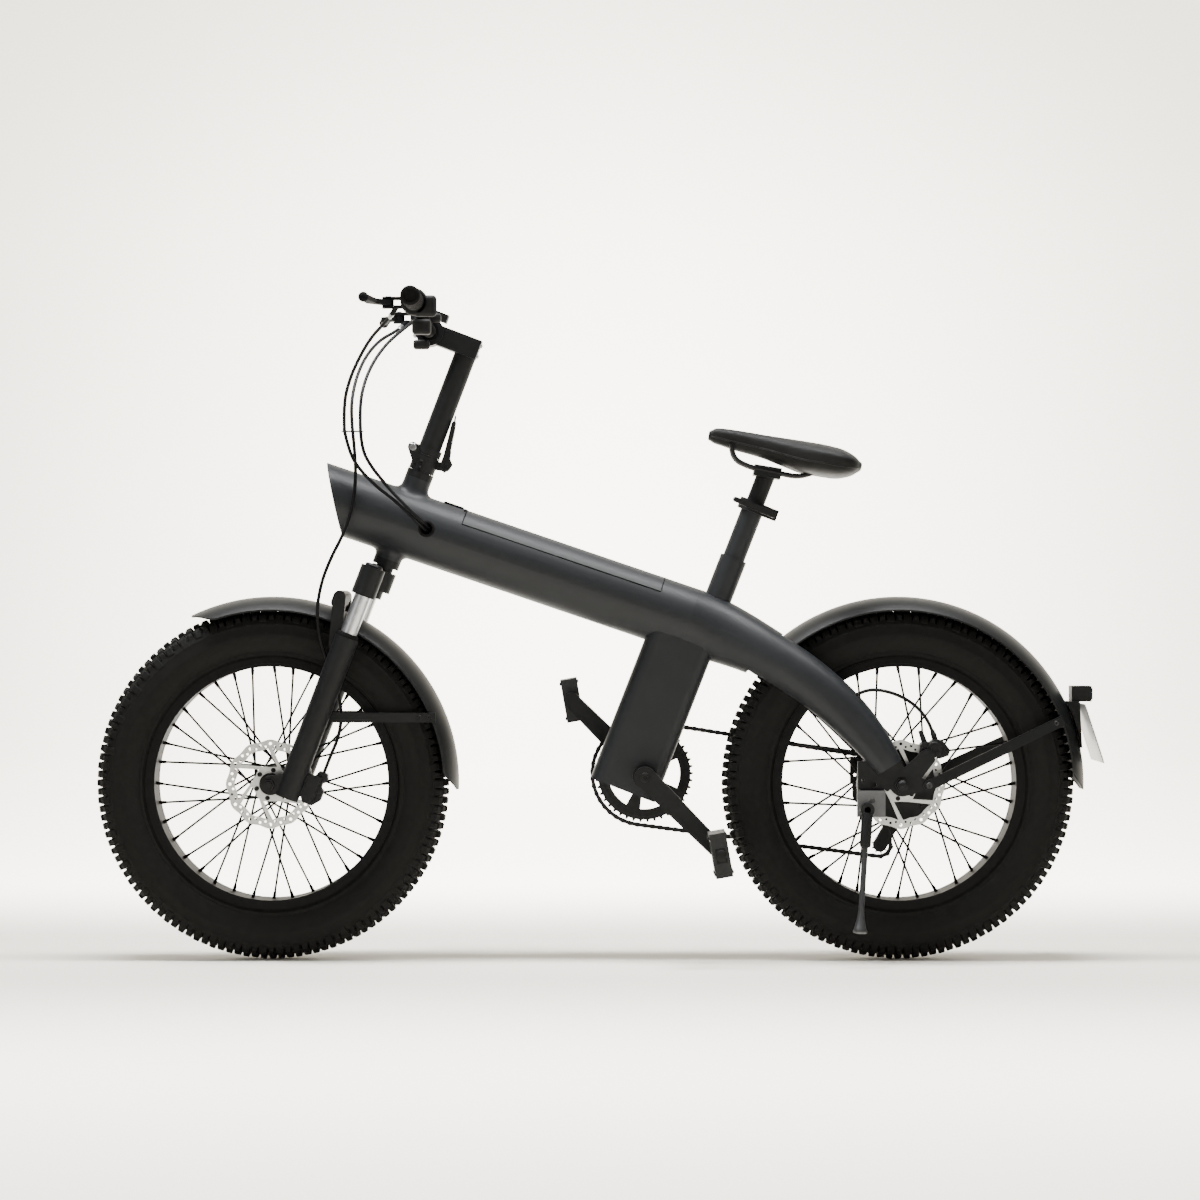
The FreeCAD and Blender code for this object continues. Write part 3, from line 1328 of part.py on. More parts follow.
def make_calipers():
    height_middle = S.caliper_bottom + S.caliper_height / 2
    front_block = block("front_caliper_block", S.caliper_depth, S.caliper_outer - S.caliper_inner,
                        S.caliper_height,
                        steer(height_middle, S.caliper_start_back + S.caliper_depth / 2,
                              -(S.caliper_inner + S.caliper_outer) / 2), STEER_TURN)
    slot_radius = S.rotor_radius + S.caliper_slot / 2
    front_middle = -S.front_rotor_side - S.rotor_thickness / 2
    front_slot = shaft("front_slot", slot_radius, FRONT_AXLE,
                       front_middle - S.caliper_slot / 2, front_middle + S.caliper_slot / 2)
    node(cut("front_caliper_solid", front_block, front_slot), "front_caliper")

    centre = REAR_AXLE + vec(S.caliper_lobe_back + S.caliper_lobe_radius, 0,
                             S.caliper_lobe_over + S.caliper_lobe_radius)
    rear_block = block("rear_caliper_block", S.rear_caliper_length, S.plate_inner - S.rear_caliper_inner,
                       S.rear_caliper_height, aside(centre, -(S.plate_inner + S.rear_caliper_inner) / 2))
    rear_middle = -S.rear_rotor_side - S.rotor_thickness / 2
    rear_slot = shaft("rear_slot", slot_radius, REAR_AXLE,
                      rear_middle - S.caliper_slot / 2, rear_middle + S.caliper_slot / 2)
    node(cut("rear_caliper_solid", rear_block, rear_slot), "rear_caliper")


# Fenders and licence plate

def fender_solid(start, end):
    """A curved sheet swept round the axle from start to end, in degrees above the rear."""
    def at(radius, y):
        return vec(radius, y, 0)

    edge_radius, half = S.fender_edge_radius, S.fender_half_width
    thin = S.fender_thickness
    section = Part.Wire([
        arc(at(edge_radius, -half), at(S.fender_radius, 0), at(edge_radius, half)),
        edge(at(edge_radius, half), at(edge_radius, half - thin)),
        arc(at(edge_radius, half - thin), at(S.fender_radius - thin, 0), at(edge_radius, thin - half)),
        edge(at(edge_radius, thin - half), at(edge_radius, -half))])
    sheet_solid = Part.Face(section).revolve(Vector(), ACROSS, start - end)
    sheet_solid.rotate(Vector(), ACROSS, -start)
    return sheet_solid


def make_fenders():
    for name, centre, start, end in (("front", FRONT_AXLE, S.front_fender_start, S.front_fender_end),
                                     ("rear", REAR_AXLE, S.rear_fender_start, S.rear_fender_end)):
        shell = feature(f"{name}_fender_sheet", fender_solid(start, end))
        shell.Placement = Placement(centre, Rotation())
        node(shell, f"{name}_fender")

    bars = []
    inner = S.fender_half_width + S.fit_gap
    outer = S.leg_side - S.leg_radius - S.fit_gap
    for side in SIDES:
        middle = FRONT_AXLE + vec(S.front_stay_start_back + S.front_stay_length / 2,
                                  side * (inner + outer) / 2,
                                  S.front_stay_over)
        bars.append(block(f"front_stay_{side}", S.front_stay_length, outer - inner, S.front_stay_height,
                          middle))
    node(group("front_stay_pair", *bars), "front_fender_stay")

    stays = []
    plate_outer = S.plate_inner + S.plate_thickness
    tab_y = plate_outer + S.rear_stay_tab_thickness
    for side in SIDES:
        tab_at = REAR_AXLE + vec(S.stay_lobe_back, 0, 0)
        low, high = (plate_outer, tab_y) if side > 0 else (-tab_y, -plate_outer)
        tab = shaft(f"stay_tab_{side}", S.rear_stay_tab_radius, tab_at, low, high)
        start = aside(tab_at, side * (tab_y - S.rear_stay_thickness / 2))
        end = REAR_AXLE + vec(S.rear_stay_length_back, side * (inner + S.rear_stay_thickness / 2),
                              S.rear_stay_rise)
        way = end - start
        turn = Rotation(way, ACROSS, UP, "XYZ")
        bar = block(f"stay_bar_{side}", way.Length, S.rear_stay_thickness, S.rear_stay_height,
                    (start + end) * 0.5, turn)
        stays.append(fuse(f"rear_stay_{side}", tab, bar))
    node(group("rear_stay_pair", *stays), "rear_fender_stays")


def make_licence_plate():
    tilt = math.radians(S.plate_tilt)
    rise = vec(-math.sin(tilt), 0, math.cos(tilt))
    outward = vec(math.cos(tilt), 0, math.sin(tilt))
    fender_back = REAR_AXLE.x + S.fender_radius
    bottom = vec(fender_back + S.plate_reach, 0, REAR_AXLE.z + S.plate_bottom_over)
    centre = bottom + rise * (S.plate_tall / 2) - outward * (S.plate_sheet / 2)
    node(block("licence_sheet", S.plate_sheet, S.plate_half_width * 2, S.plate_tall, centre,
               Rotation(ACROSS, -S.plate_tilt)), "licence_plate")

    top_z = bottom.z + S.bracket_drop
    back_line = bottom - outward * (S.plate_sheet + S.fit_gap)
    top_back = back_line + rise * (S.bracket_drop / math.cos(tilt))
    wedge = Part.Face(Part.makePolygon([
        vec(fender_back - S.bracket_front_inset, -S.bracket_half_width, top_z),
        vec(top_back.x, -S.bracket_half_width, top_z),
        vec(fender_back - S.bracket_bottom_inset, -S.bracket_half_width, bottom.z),
        vec(fender_back - S.bracket_front_inset, -S.bracket_half_width, bottom.z),
        vec(fender_back - S.bracket_front_inset, -S.bracket_half_width, top_z)]))
    body = feature("bracket_wedge", wedge.extrude(vec(0, S.bracket_half_width * 2, 0)))
    under = shaft("bracket_under", S.fender_radius + S.fit_gap, REAR_AXLE, -S.bracket_half_width,
                  S.bracket_half_width)
    lamp_middle = vec(top_back.x + S.lamp_length / 2 - S.lamp_ahead, 0, top_z + S.lamp_height / 2)
    lamp = block("plate_lamp", S.lamp_length, S.lamp_half_width * 2, S.lamp_height, lamp_middle)
    node(group("bracket_and_lamp", cut("bracket_solid", body, under), lamp), "plate_bracket")


# Kickstand

STAND_PIVOT = REAR_AXLE + vec(-S.stand_pivot_ahead, 0, -S.stand_pivot_below)


def make_kickstand():
    plate_face = S.plate_inner + S.plate_thickness
    outer = plate_face + S.stand_plate_thickness
    middle = vec(REAR_AXLE.x - S.stand_lobe_ahead, -(plate_face + outer) / 2,
                 REAR_AXLE.z - S.stand_plate_below - S.stand_plate_height / 2)
    bracket = block("stand_plate", S.stand_plate_length, S.stand_plate_thickness, S.stand_plate_height,
                    middle)
    barrel_end = outer + S.passing_gap + S.stand_barrel_length
    pin = shaft("stand_pin", S.stand_pin_radius, STAND_PIVOT, -barrel_end, -outer)
    node(fuse("stand_bracket_solid", bracket, pin), "kickstand_bracket")

    barrel = shaft("stand_barrel", S.stand_barrel_radius, STAND_PIVOT, -barrel_end, -outer - S.passing_gap)
    bore = shaft("stand_bore", S.stand_pin_radius + S.running_gap, STAND_PIVOT, -barrel_end, -outer)
    top = aside(STAND_PIVOT, -barrel_end + S.stand_barrel_length / 2)
    foot = vec(REAR_AXLE.x - S.stand_foot_ahead, -S.stand_foot_side, S.stand_foot_height)
    way = foot - top
    way.normalize()
    socket = rod("stand_socket", S.stand_socket_radius, top + way * S.stand_barrel_radius,
                 top + way * S.stand_socket_length)
    leg = rod("stand_rod", S.stand_rod_radius, top + way * S.stand_barrel_radius,
              foot + UP * (S.stand_foot_length / 2))
    shoe = cylinder("stand_foot", S.stand_foot_radius, S.stand_foot_length, foot, UP)
    node(cut("stand_leg_solid", fuse("stand_leg_parts", barrel, socket, leg, shoe), bore), "kickstand_leg")


# Fold joint, handle post and bar

FOLD_PIVOT = steer(S.fold_rise, -S.fold_ahead)
LATCH_PIVOT = steer(S.latch_rise, S.latch_back)
POST_BOTTOM = S.base_top + S.passing_gap


def make_fold():
    base_bottom = S.head_top + S.cup_height + S.passing_gap
    ear_gap = S.fold_ear_inner + S.passing_gap
    pieces = [cylinder("base_round", S.base_radius, S.base_top - base_bottom, steer(base_bottom), STEER_UP)]
    foot = steer(S.fold_rise - S.fold_ear_radius * 2, -S.base_radius + S.fold_ear_radius)
    for side in SIDES:
        low, high = (ear_gap, S.fold_pin_half) if side > 0 else (-S.fold_pin_half, -ear_gap)
        pieces.append(link(f"fold_ear_{side}", FOLD_PIVOT, S.fold_ear_radius, foot, S.fold_ear_radius, low,
                           high))
    pieces.append(link("latch_lug", LATCH_PIVOT, S.latch_ear_radius, steer(S.latch_rise - S.latch_ear_radius),
                       S.latch_ear_radius, -S.latch_ear_inner, S.latch_ear_inner))
    pieces.append(shaft("latch_pin", S.latch_pin_radius, LATCH_PIVOT, -S.latch_half, S.latch_half))
    bore = cylinder("base_bore", S.steerer_radius + S.fit_gap / 2, S.steerer_top - base_bottom + S.fit_gap,
                    steer(base_bottom), STEER_UP)
    pocket = link("fold_pocket", FOLD_PIVOT, S.fold_ear_radius + S.passing_gap,
                  steer(S.fold_rise, -S.fold_ear_radius),
                  S.fold_ear_radius / 2 + S.passing_gap, -ear_gap, ear_gap)
    pin = shaft("fold_pin", S.fold_pin_radius, FOLD_PIVOT, -S.fold_pin_half, S.fold_pin_half)
    node(fuse("fold_base_solid", cut("fold_base_bored", fuse("fold_base_parts", *pieces), bore, pocket),
              pin), "fold_base")

    post = cylinder("post_tube", S.post_radius, S.post_top - POST_BOTTOM, steer(POST_BOTTOM), STEER_UP)
    flange = cylinder("post_flange", S.base_radius, S.post_flange, steer(POST_BOTTOM), STEER_UP)
    knuckle = link("post_knuckle", FOLD_PIVOT, S.fold_ear_radius, steer(S.fold_rise, -S.fold_ear_radius),
                   S.fold_ear_radius / 2, -S.fold_ear_inner, S.fold_ear_inner)
    ear_space = []
    for side in SIDES:
        low, high = (S.fold_ear_inner, S.base_radius) if side > 0 else (-S.base_radius, -S.fold_ear_inner)
        space = S.fold_ear_radius + S.passing_gap
        ear_space.append(link(f"ear_space_{side}", FOLD_PIVOT, space, foot, space, low, high))
    bore = shaft("knuckle_bore", S.fold_pin_radius + S.running_gap, FOLD_PIVOT, -S.fold_ear_inner,
                 S.fold_ear_inner)
    post_body = cut("post_spaced", fuse("post_parts", post, flange), *ear_space)
    node(cut("post_solid", fuse("post_whole", post_body, knuckle), bore), "handlepost")

    lean = math.radians(S.head_lean - S.latch_lean)
    tip = LATCH_PIVOT + vec(math.sin(lean), 0, math.cos(lean)) * S.latch_length
    plates = []
    for side in SIDES:
        near = S.latch_ear_inner + S.passing_gap
        low, high = (near, S.latch_half) if side > 0 else (-S.latch_half, -near)
        plates.append(link(f"latch_plate_{side}", LATCH_PIVOT, S.latch_ear_radius, tip, S.latch_end_radius,
                           low, high))
    grip_start = LATCH_PIVOT + (tip - LATCH_PIVOT) * 0.35
    plates.append(link("latch_grip", grip_start, S.latch_end_radius, tip, S.latch_end_radius, -S.latch_half,
                       S.latch_half))
    bore = shaft("latch_bore", S.latch_pin_radius + S.running_gap, LATCH_PIVOT, -S.latch_half, S.latch_half)
    node(cut("latch_solid", fuse("latch_parts", *plates), bore), "fold_latch")


# Places along the bar, as shares of its half length
BAR_SHARES = {"bend_start": 0.195, "bend_end": 0.371, "grip": 0.384, "clamp": 0.5283, "elbow": 0.645,
              "end": 0.912}
BEND_START = S.bar_half * BAR_SHARES["bend_start"]
BEND_END = S.bar_half * BAR_SHARES["bend_end"]
GRIP_LENGTH = S.bar_half * BAR_SHARES["grip"]
CLAMP_SIDE = S.bar_half * BAR_SHARES["clamp"]
LEVER_ELBOW = S.bar_half * BAR_SHARES["elbow"]
LEVER_END = S.bar_half * BAR_SHARES["end"]
SHIFTER_SIDE = CLAMP_SIDE - S.clamp_half - S.shifter_half - S.control_gap
CLAMP_RISE = S.post_top + S.stem_height / 2
BAR_CENTRE = steer(CLAMP_RISE, -S.stem_length)
GRIP_CENTRE = steer(CLAMP_RISE + S.bar_rise, -S.stem_length - S.bar_ahead)


def bar_solid():
    """The riser bar: a straight middle, a bend up and forward on each side and straight ends."""
    inner = aside(BAR_CENTRE, BEND_START)
    outer = aside(GRIP_CENTRE, BEND_END)
    half_points = [inner, outer, aside(GRIP_CENTRE, S.bar_half)]
    points = [aside(point, -point.y) for point in reversed(half_points)] + half_points
    edges = []
    here = points[0]
    for before, corner, after in zip(points, points[1:], points[2:]):
        back = before - corner
        ahead = after - corner
        half_turn = (math.pi - back.getAngle(ahead)) / 2
        back.normalize()
        ahead.normalize()
        reach = S.bar_bend_radius * math.tan(half_turn)
        inward = back + ahead
        inward.normalize()
        middle = corner + inward * (S.bar_bend_radius / math.cos(half_turn) - S.bar_bend_radius)
        start = corner + back * reach
        end = corner + ahead * reach
        edges.append(edge(here, start))
        edges.append(arc(start, middle, end))
        here = end
    edges.append(edge(here, points[-1]))
    section = Part.Wire(Part.makeCircle(S.bar_radius, points[0], ACROSS))
    return Part.Wire(edges).makePipeShell([section], True, False)


def make_handlebar():
    tube = feature("bar_tube", bar_solid())
    thick = shaft("bar_thick", S.bar_clamp_radius, BAR_CENTRE, -S.bar_clamp_half, S.bar_clamp_half)
    node(fuse("bar_solid", tube, thick), "handlebar")

    length = S.stem_back + S.stem_length
    beam_block = block("stem_block", length, S.stem_half_width * 2, S.stem_height,
                       steer(CLAMP_RISE, S.stem_back - length / 2), STEER_TURN)
    clamp = shaft("stem_clamp", S.stem_clamp_radius, BAR_CENTRE, -S.stem_clamp_half, S.stem_clamp_half)
    bore = shaft("stem_bore", S.bar_clamp_radius, BAR_CENTRE, -S.bar_clamp_half, S.bar_clamp_half)
    node(cut("stem_solid", fuse("stem_parts", beam_block, clamp), bore), "stem")

    grips = []
    for side in SIDES:
        end = S.bar_half + S.grip_cap
        low, high = (S.bar_half - GRIP_LENGTH, end) if side > 0 else (-end, GRIP_LENGTH - S.bar_half)
        bore_low, bore_high = (low, S.bar_half) if side > 0 else (-S.bar_half, high)
        grips.append(cut(f"grip_{side}", shaft(f"grip_round_{side}", S.grip_radius, GRIP_CENTRE, low, high),
                         shaft(f"grip_bore_{side}", S.bar_radius, GRIP_CENTRE, bore_low, bore_high)))
    node(group("grip_pair", *grips), "grips")


def lever_solid(side):
    """A brake lever in plan: boss at the pivot, an elbow, a blade and a ball end."""
    points = [(CLAMP_SIDE, S.lever_ahead, S.lever_boss_radius),
              (LEVER_ELBOW, S.lever_elbow_ahead, S.lever_root_radius),
              (LEVER_END, S.lever_end_ahead, S.lever_blade_radius)]
    pieces = []
    for (y, ahead, radius), (next_y, next_ahead, next_radius) in zip(points, points[1:]):
        first = vec(side * y, 0, -ahead)
        second = vec(side * next_y, 0, -next_ahead)
        pieces.append(link_solid(first, radius, second, next_radius, -S.lever_half_height,
                                 S.lever_half_height))
    blade = pieces[0].fuse(pieces[1])
    bore = Part.makeCylinder(S.lever_pivot_radius + S.running_gap, S.lever_half_height * 2,
                             vec(side * CLAMP_SIDE, -S.lever_half_height, -S.lever_ahead), ACROSS)
    ball = Part.makeSphere(S.lever_ball_radius, vec(side * LEVER_END, 0, -S.lever_end_ahead))
    lever = blade.fuse(ball).cut(bore).removeSplitter()
    # Plan view to the bike: the outline's X runs along Y, its Z along X and its Y up
    turn = Rotation(ACROSS, UP, Vector(1, 0, 0), "XYZ")
    lever.Placement = Placement(GRIP_CENTRE, turn)
    return lever


def lever_pivot(side):
    return GRIP_CENTRE + vec(-S.lever_ahead, side * CLAMP_SIDE, 0)


def make_controls():
    clamps = []
    for side, name in ((-1, "left"), (1, "right")):
        node(feature(f"{name}_lever_solid", lever_solid(side)), f"{name}_brake_lever")
        low = side * CLAMP_SIDE - S.clamp_half
        high = side * CLAMP_SIDE + S.clamp_half
        pivot = lever_pivot(side)
        ring = shaft(f"{name}_clamp_ring", S.clamp_radius, GRIP_CENTRE, low, high)
        reach = S.lever_ahead + S.lever_boss_radius
        plate_gap = S.lever_half_height + S.passing_gap
        plate_thickness = S.clamp_plate_half - plate_gap
        plates = []
        for over in SIDES:
            height = over * (plate_gap + plate_thickness / 2)
            plates.append(block(f"{name}_clamp_plate_{over}", reach, S.clamp_half * 2, plate_thickness,
                                GRIP_CENTRE + vec(-reach / 2, side * CLAMP_SIDE, height)))
        pin = cylinder(f"{name}_lever_pin", S.lever_pivot_radius, S.clamp_plate_half * 2,
                       pivot - UP * S.clamp_plate_half, UP)
        barrel = rod(f"{name}_barrel", S.barrel_radius, barrel_start(side), barrel_end(side))
        pieces = [ring, *plates, pin, barrel]
        bores = [shaft(f"{name}_clamp_bore", S.bar_radius, GRIP_CENTRE, low, high)]
        sweep = S.lever_boss_radius + S.passing_gap
        bores.append(cylinder(f"{name}_lever_space", sweep, plate_gap * 2, pivot - UP * plate_gap, UP))
        whole = cut(f"{name}_clamp_bored",
                    fuse(f"{name}_clamp_parts", *[part for part in pieces if part is not pin]), *bores)
        clamps.append(fuse(f"{name}_clamp", whole, pin))
    node(group("clamp_pair", *clamps), "lever_clamps")

    display_turn = STEER_TURN
    over_bar = S.stem_clamp_radius + S.control_thickness / 2
    display = block("display", S.control_half_length * 2, S.control_half_width * 2, S.control_thickness,
                    steer(CLAMP_RISE + over_bar, -S.stem_length), display_turn)
    low, high = SHIFTER_SIDE - S.shifter_half, SHIFTER_SIDE + S.shifter_half
    shifter_ring = shaft("shifter_round", S.shifter_radius, GRIP_CENTRE, low, high)
    shifter = cut("shifter", shifter_ring, shaft("shifter_bore", S.bar_radius, GRIP_CENTRE, low, high))
    node(group("control_group", display, shifter), "bar_controls")


def barrel_way(side):
    """The way a cable leaves its lever: inwards, forward and down."""
    way = vec(-0.35, -side * 0.85, -0.4)
    way.normalize()
    return way


def barrel_start(side):
    return GRIP_CENTRE + vec(-S.lever_ahead * 0.7, side * (CLAMP_SIDE - S.clamp_half / 3),
                             -S.clamp_plate_half * 0.8)


def barrel_end(side):
    return barrel_start(side) + barrel_way(side) * S.barrel_length


# Seat

def make_seat():
    post = cylinder("seat_post_tube", S.seat_post_radius, S.seat_post_top - S.seat_post_bottom,
                    seat(S.seat_post_bottom), SEAT_UP)
    pitch = Rotation(ACROSS, S.saddle_pitch)
    head = block("seat_head", S.seat_head_length, S.seat_head_half * 2, S.seat_head_height, RAIL_MIDDLE,
                 pitch)
    rails = [feature(f"rail_{side}", rail_solid(side)) for side in SIDES]
    rail_space = [feature(f"rail_space_{side}", rail_solid(side)) for side in SIDES]
    node(cut("seat_post_solid", fuse("seat_post_parts", post, head), *rail_space), "seat_post")
    node(group("rail_pair", *rails), "saddle_rails")
    node(feature("saddle_solid", saddle_solid()), "saddle")

    collar = cylinder("collar_round", S.collar_radius, S.collar_height, seat(S.seat_tube_top), SEAT_UP)
    ear_middle = seat(S.seat_tube_top + S.collar_height / 2, S.collar_radius + S.collar_ear / 3)
    ear = block("collar_ear_block", S.collar_ear * 2, S.collar_ear_half * 2, S.collar_height, ear_middle,
                SEAT_TURN)
    bolt = shaft("collar_bolt", S.collar_bolt_radius, COLLAR_BOLT,
                 -S.collar_radius - S.collar_bolt_radius - S.quick_lever_thickness, S.collar_ear_half)
    bore = cylinder("collar_bore", S.seat_post_radius + S.fit_gap, S.collar_height, seat(S.seat_tube_top),
                    SEAT_UP)
    node(cut("collar_solid", fuse("collar_parts", collar, ear, bolt), bore), "seat_clamp")

    ear_face = -S.collar_ear_half - S.passing_gap
    near = -S.collar_radius - S.collar_bolt_radius
    far = near - S.quick_lever_thickness
    end = COLLAR_BOLT - SEAT_BACK * S.quick_lever_length
    lever = link("quick_lever_link", COLLAR_BOLT, S.quick_lever_radius, end, S.quick_lever_radius * 0.7, far,
                 near)
    boss = shaft("quick_lever_boss", S.quick_lever_radius, COLLAR_BOLT, far, ear_face)
    lever_bore = shaft("quick_lever_bore", S.collar_bolt_radius + S.running_gap, COLLAR_BOLT, far, ear_face)
    node(cut("quick_lever_solid", fuse("quick_lever_parts", lever, boss), lever_bore), "seat_clamp_lever")


COLLAR_BOLT = seat(S.seat_tube_top + S.collar_height / 2, S.collar_radius + S.collar_ear * 0.7)
SADDLE_NOSE = vec(seat(S.seat_post_top).x - S.saddle_nose_back, 0, S.saddle_nose_height)
PITCH = math.radians(S.saddle_pitch)
SADDLE_BACK = vec(math.cos(PITCH), 0, -math.sin(PITCH))
SADDLE_UP = vec(math.sin(PITCH), 0, math.cos(PITCH))
RAIL_MIDDLE = seat(S.seat_post_top)


def saddle(back, over, y=0):
    return SADDLE_NOSE + SADDLE_BACK * back + SADDLE_UP * over + vec(0, y, 0)


def saddle_solid():
    """The padded seat: a narrow nose that widens to the tail, crowned on top and drawn in below."""
    place_shares = (0, 0.03, 0.18, 0.375, 0.62, 0.86, 0.97, 1)
    width_shares = (0.12, 0.2, 0.24, 0.36, 0.75, 1, 0.8, 0.5)
    top_shares = (0, 0.2, 0.257, 0.257, 0.257, 0.2, -0.02, -0.17)
    depth_shares = (0.2, 0.45, 0.62, 0.734, 1, 0.94, 0.55, 0.2)
    sections = []
    for place, width, top, depth in zip(place_shares, width_shares, top_shares, depth_shares):
        half_width = S.saddle_half_width * width
        over = S.saddle_depth * top
        under = over - S.saddle_depth * depth
        sections.append(saddle_section(S.saddle_length * place, half_width, over, under))
    return Part.makeLoft(sections, True, False)


def saddle_section(back, half_width, over, under):
    """A crowned top, rounded edges and a flatter belly, from arcs under a half circle."""
    waist_share, crown_share, belly_share = 0.45, 0.72, 0.7
    depth = over - under

    def at(width_share, depth_share):
        return saddle(back, over - depth * depth_share, half_width * width_share)

    return Part.Wire([
        arc(at(-crown_share, 0.12), at(0, 0), at(crown_share, 0.12)),
        arc(at(crown_share, 0.12), at(0.96, 0.25), at(1, waist_share)),
        arc(at(1, waist_share), at(0.95, 0.8), at(belly_share, 1)),
        edge(at(belly_share, 1), at(-belly_share, 1)),
        arc(at(-belly_share, 1), at(-0.95, 0.8), at(-1, waist_share)),
        arc(at(-1, waist_share), at(-0.96, 0.25), at(-crown_share, 0.12))])


def rail_solid(side):
    """One saddle rail: down from the nose, level through the seat post's head and up to the tail."""
    y = side * S.rail_side
    belly_shares = ((0.15, -0.2), (0.19, -0.66), (0.3, -0.92), (0.62, -0.98), (0.74, -0.6))
    level = RAIL_MIDDLE
    points = [saddle(S.saddle_length * back, S.saddle_depth * over, y) for back, over in belly_shares]
    lift = (level - points[3]).dot(SADDLE_UP)
    points = points[:2] + [point + SADDLE_UP * lift for point in points[2:4]] + points[4:]
    return tube_along(f"rail {side}", points, S.rail_radius)


# Cables: routes chosen by hand, as shares of the wheelbase from an axle

SHIFTER_EXIT = GRIP_CENTRE + vec(-S.shifter_radius * 0.7, SHIFTER_SIDE - S.shifter_half,
                                 -S.shifter_radius * 0.4)
CALIPER_TOP = steer(S.caliper_bottom + S.caliper_height, S.caliper_start_back + S.caliper_depth * 0.65)
HOSE_SIDE = -S.front_rotor_side
BEFORE_CALIPER = CALIPER_TOP + STEER_UP * (S.caliper_height / 2)
LEFT_BRAKE_SHARES = (
    (0.16272, -0.09763, 0.70809), (0.13905, -0.07890, 0.66963), (0.12327, -0.06706, 0.63314),
    (0.11637, -0.05917, 0.59763), (0.11736, -0.05325, 0.56114),
)
RIGHT_BRAKE_SHARES = (
    (0.16667, 0.09073, 0.71598), (0.14694, 0.04931, 0.68935), (0.13412, 0.00789, 0.65483),
    (0.12821, -0.02564, 0.61933), (0.12722, -0.04241, 0.58974), (0.13018, -0.05128, 0.56114),
)
SHIFTER_SHARES = (
    (0.19822, 0.08481, 0.72781), (0.17653, 0.04931, 0.70414), (0.15680, 0.01183, 0.67061),
    (0.14497, -0.02367, 0.63314), (0.14103, -0.04536, 0.59566), (0.14300, -0.05523, 0.56114),
)
LOWER_BRAKE_SHARES = (
    (0.11736, -0.05325, 0.55976), (0.12426, -0.05325, 0.52860), (0.14103, -0.05523, 0.50000),
    (0.16864, -0.05819, 0.47239), (0.19428, -0.06312, 0.45316), (0.21607, -0.06607, 0.43294),
    (0.23314, -0.06607, 0.41647), (0.24477, -0.05493, 0.40513), (0.24951, -0.03748, 0.40039),
)
LOWER_SHIFTER_SHARES = (
    (0.14300, -0.05523, 0.55976), (0.14497, -0.05621, 0.53254), (0.15878, -0.05720, 0.50592),
    (0.17949, -0.06016, 0.48028), (0.19822, -0.06361, 0.45858), (0.21903, -0.06607, 0.43836),
    (0.23609, -0.06607, 0.42189), (0.24773, -0.05493, 0.41055), (0.25247, -0.03748, 0.40582),
)
FRONT_HOSE_SHARES = (
    (0.13018, -0.05128, 0.55976), (0.13412, -0.04635, 0.52170), (0.13511, -0.04931, 0.47929),
    (0.12919, -0.05917, 0.43491), (0.11637, -0.06509, 0.39645), (0.09665, -0.06903, 0.35897),
    (0.08087, -0.07101, 0.31755), (0.07396, -0.07002, 0.27219), (0.07890, -0.06509, 0.23274),
    (0.09172, -0.05621, 0.19132), (0.10552, -0.05227, 0.15187), (0.11341, -0.04931, 0.11243),
    (0.10848, -0.05227, 0.07495),
)
REAR_HOSE_SHARES = (
    (-0.08087, -0.09073, 0.13807), (-0.05819, -0.09073, 0.15089), (-0.02860, -0.08974, 0.14990),
    (0.00296, -0.08679, 0.13905), (0.02959, -0.08284, 0.11933), (0.04635, -0.07890, 0.09467),
    (0.05325, -0.07495, 0.07298),
)


def route(anchor, shares):
    """Points from an axle, by shares of the wheelbase."""
    return [anchor + vec(x, y, z) * S.wheelbase for x, y, z in shares]


UPPER_ROUTES = {
    "left brake": [barrel_end(-1), barrel_end(-1) + barrel_way(-1) * S.barrel_length,
                   *route(FRONT_AXLE, LEFT_BRAKE_SHARES)],
    "right brake": [barrel_end(1), barrel_end(1) + barrel_way(1) * S.barrel_length,
                    *route(FRONT_AXLE, RIGHT_BRAKE_SHARES)],
    "shifter": [SHIFTER_EXIT, SHIFTER_EXIT - ACROSS * S.barrel_length, *route(FRONT_AXLE, SHIFTER_SHARES)],
}
LOWER_ROUTES = {
    "rear brake": route(FRONT_AXLE, LOWER_BRAKE_SHARES),
    "shifter": route(FRONT_AXLE, LOWER_SHIFTER_SHARES),
}
FRONT_HOSE_ROUTE = [*route(FRONT_AXLE, FRONT_HOSE_SHARES), aside(BEFORE_CALIPER, HOSE_SIDE),
                    aside(CALIPER_TOP, HOSE_SIDE)]
REAR_HOSE_ROUTE = route(REAR_AXLE, REAR_HOSE_SHARES)


def cords(name, routes):
    tubes = [tube_along(f"{name} {key}", [Vector(*point) for point in route], S.cable_radius) for key,
             route in routes.items()]
    return feature(f"{name}_tubes", Part.makeCompound(tubes))


def make_cables():
    node(cords("upper", UPPER_ROUTES), "upper_cables")
    node(cords("lower", LOWER_ROUTES), "lower_cables")
    node(cords("front", {"brake hose": FRONT_HOSE_ROUTE}), "front_brake_hose")
    node(cords("rear", {"brake hose": REAR_HOSE_ROUTE}), "rear_brake_hose")


def failed(obj):
    return "Invalid" in obj.State or "Error" in obj.State


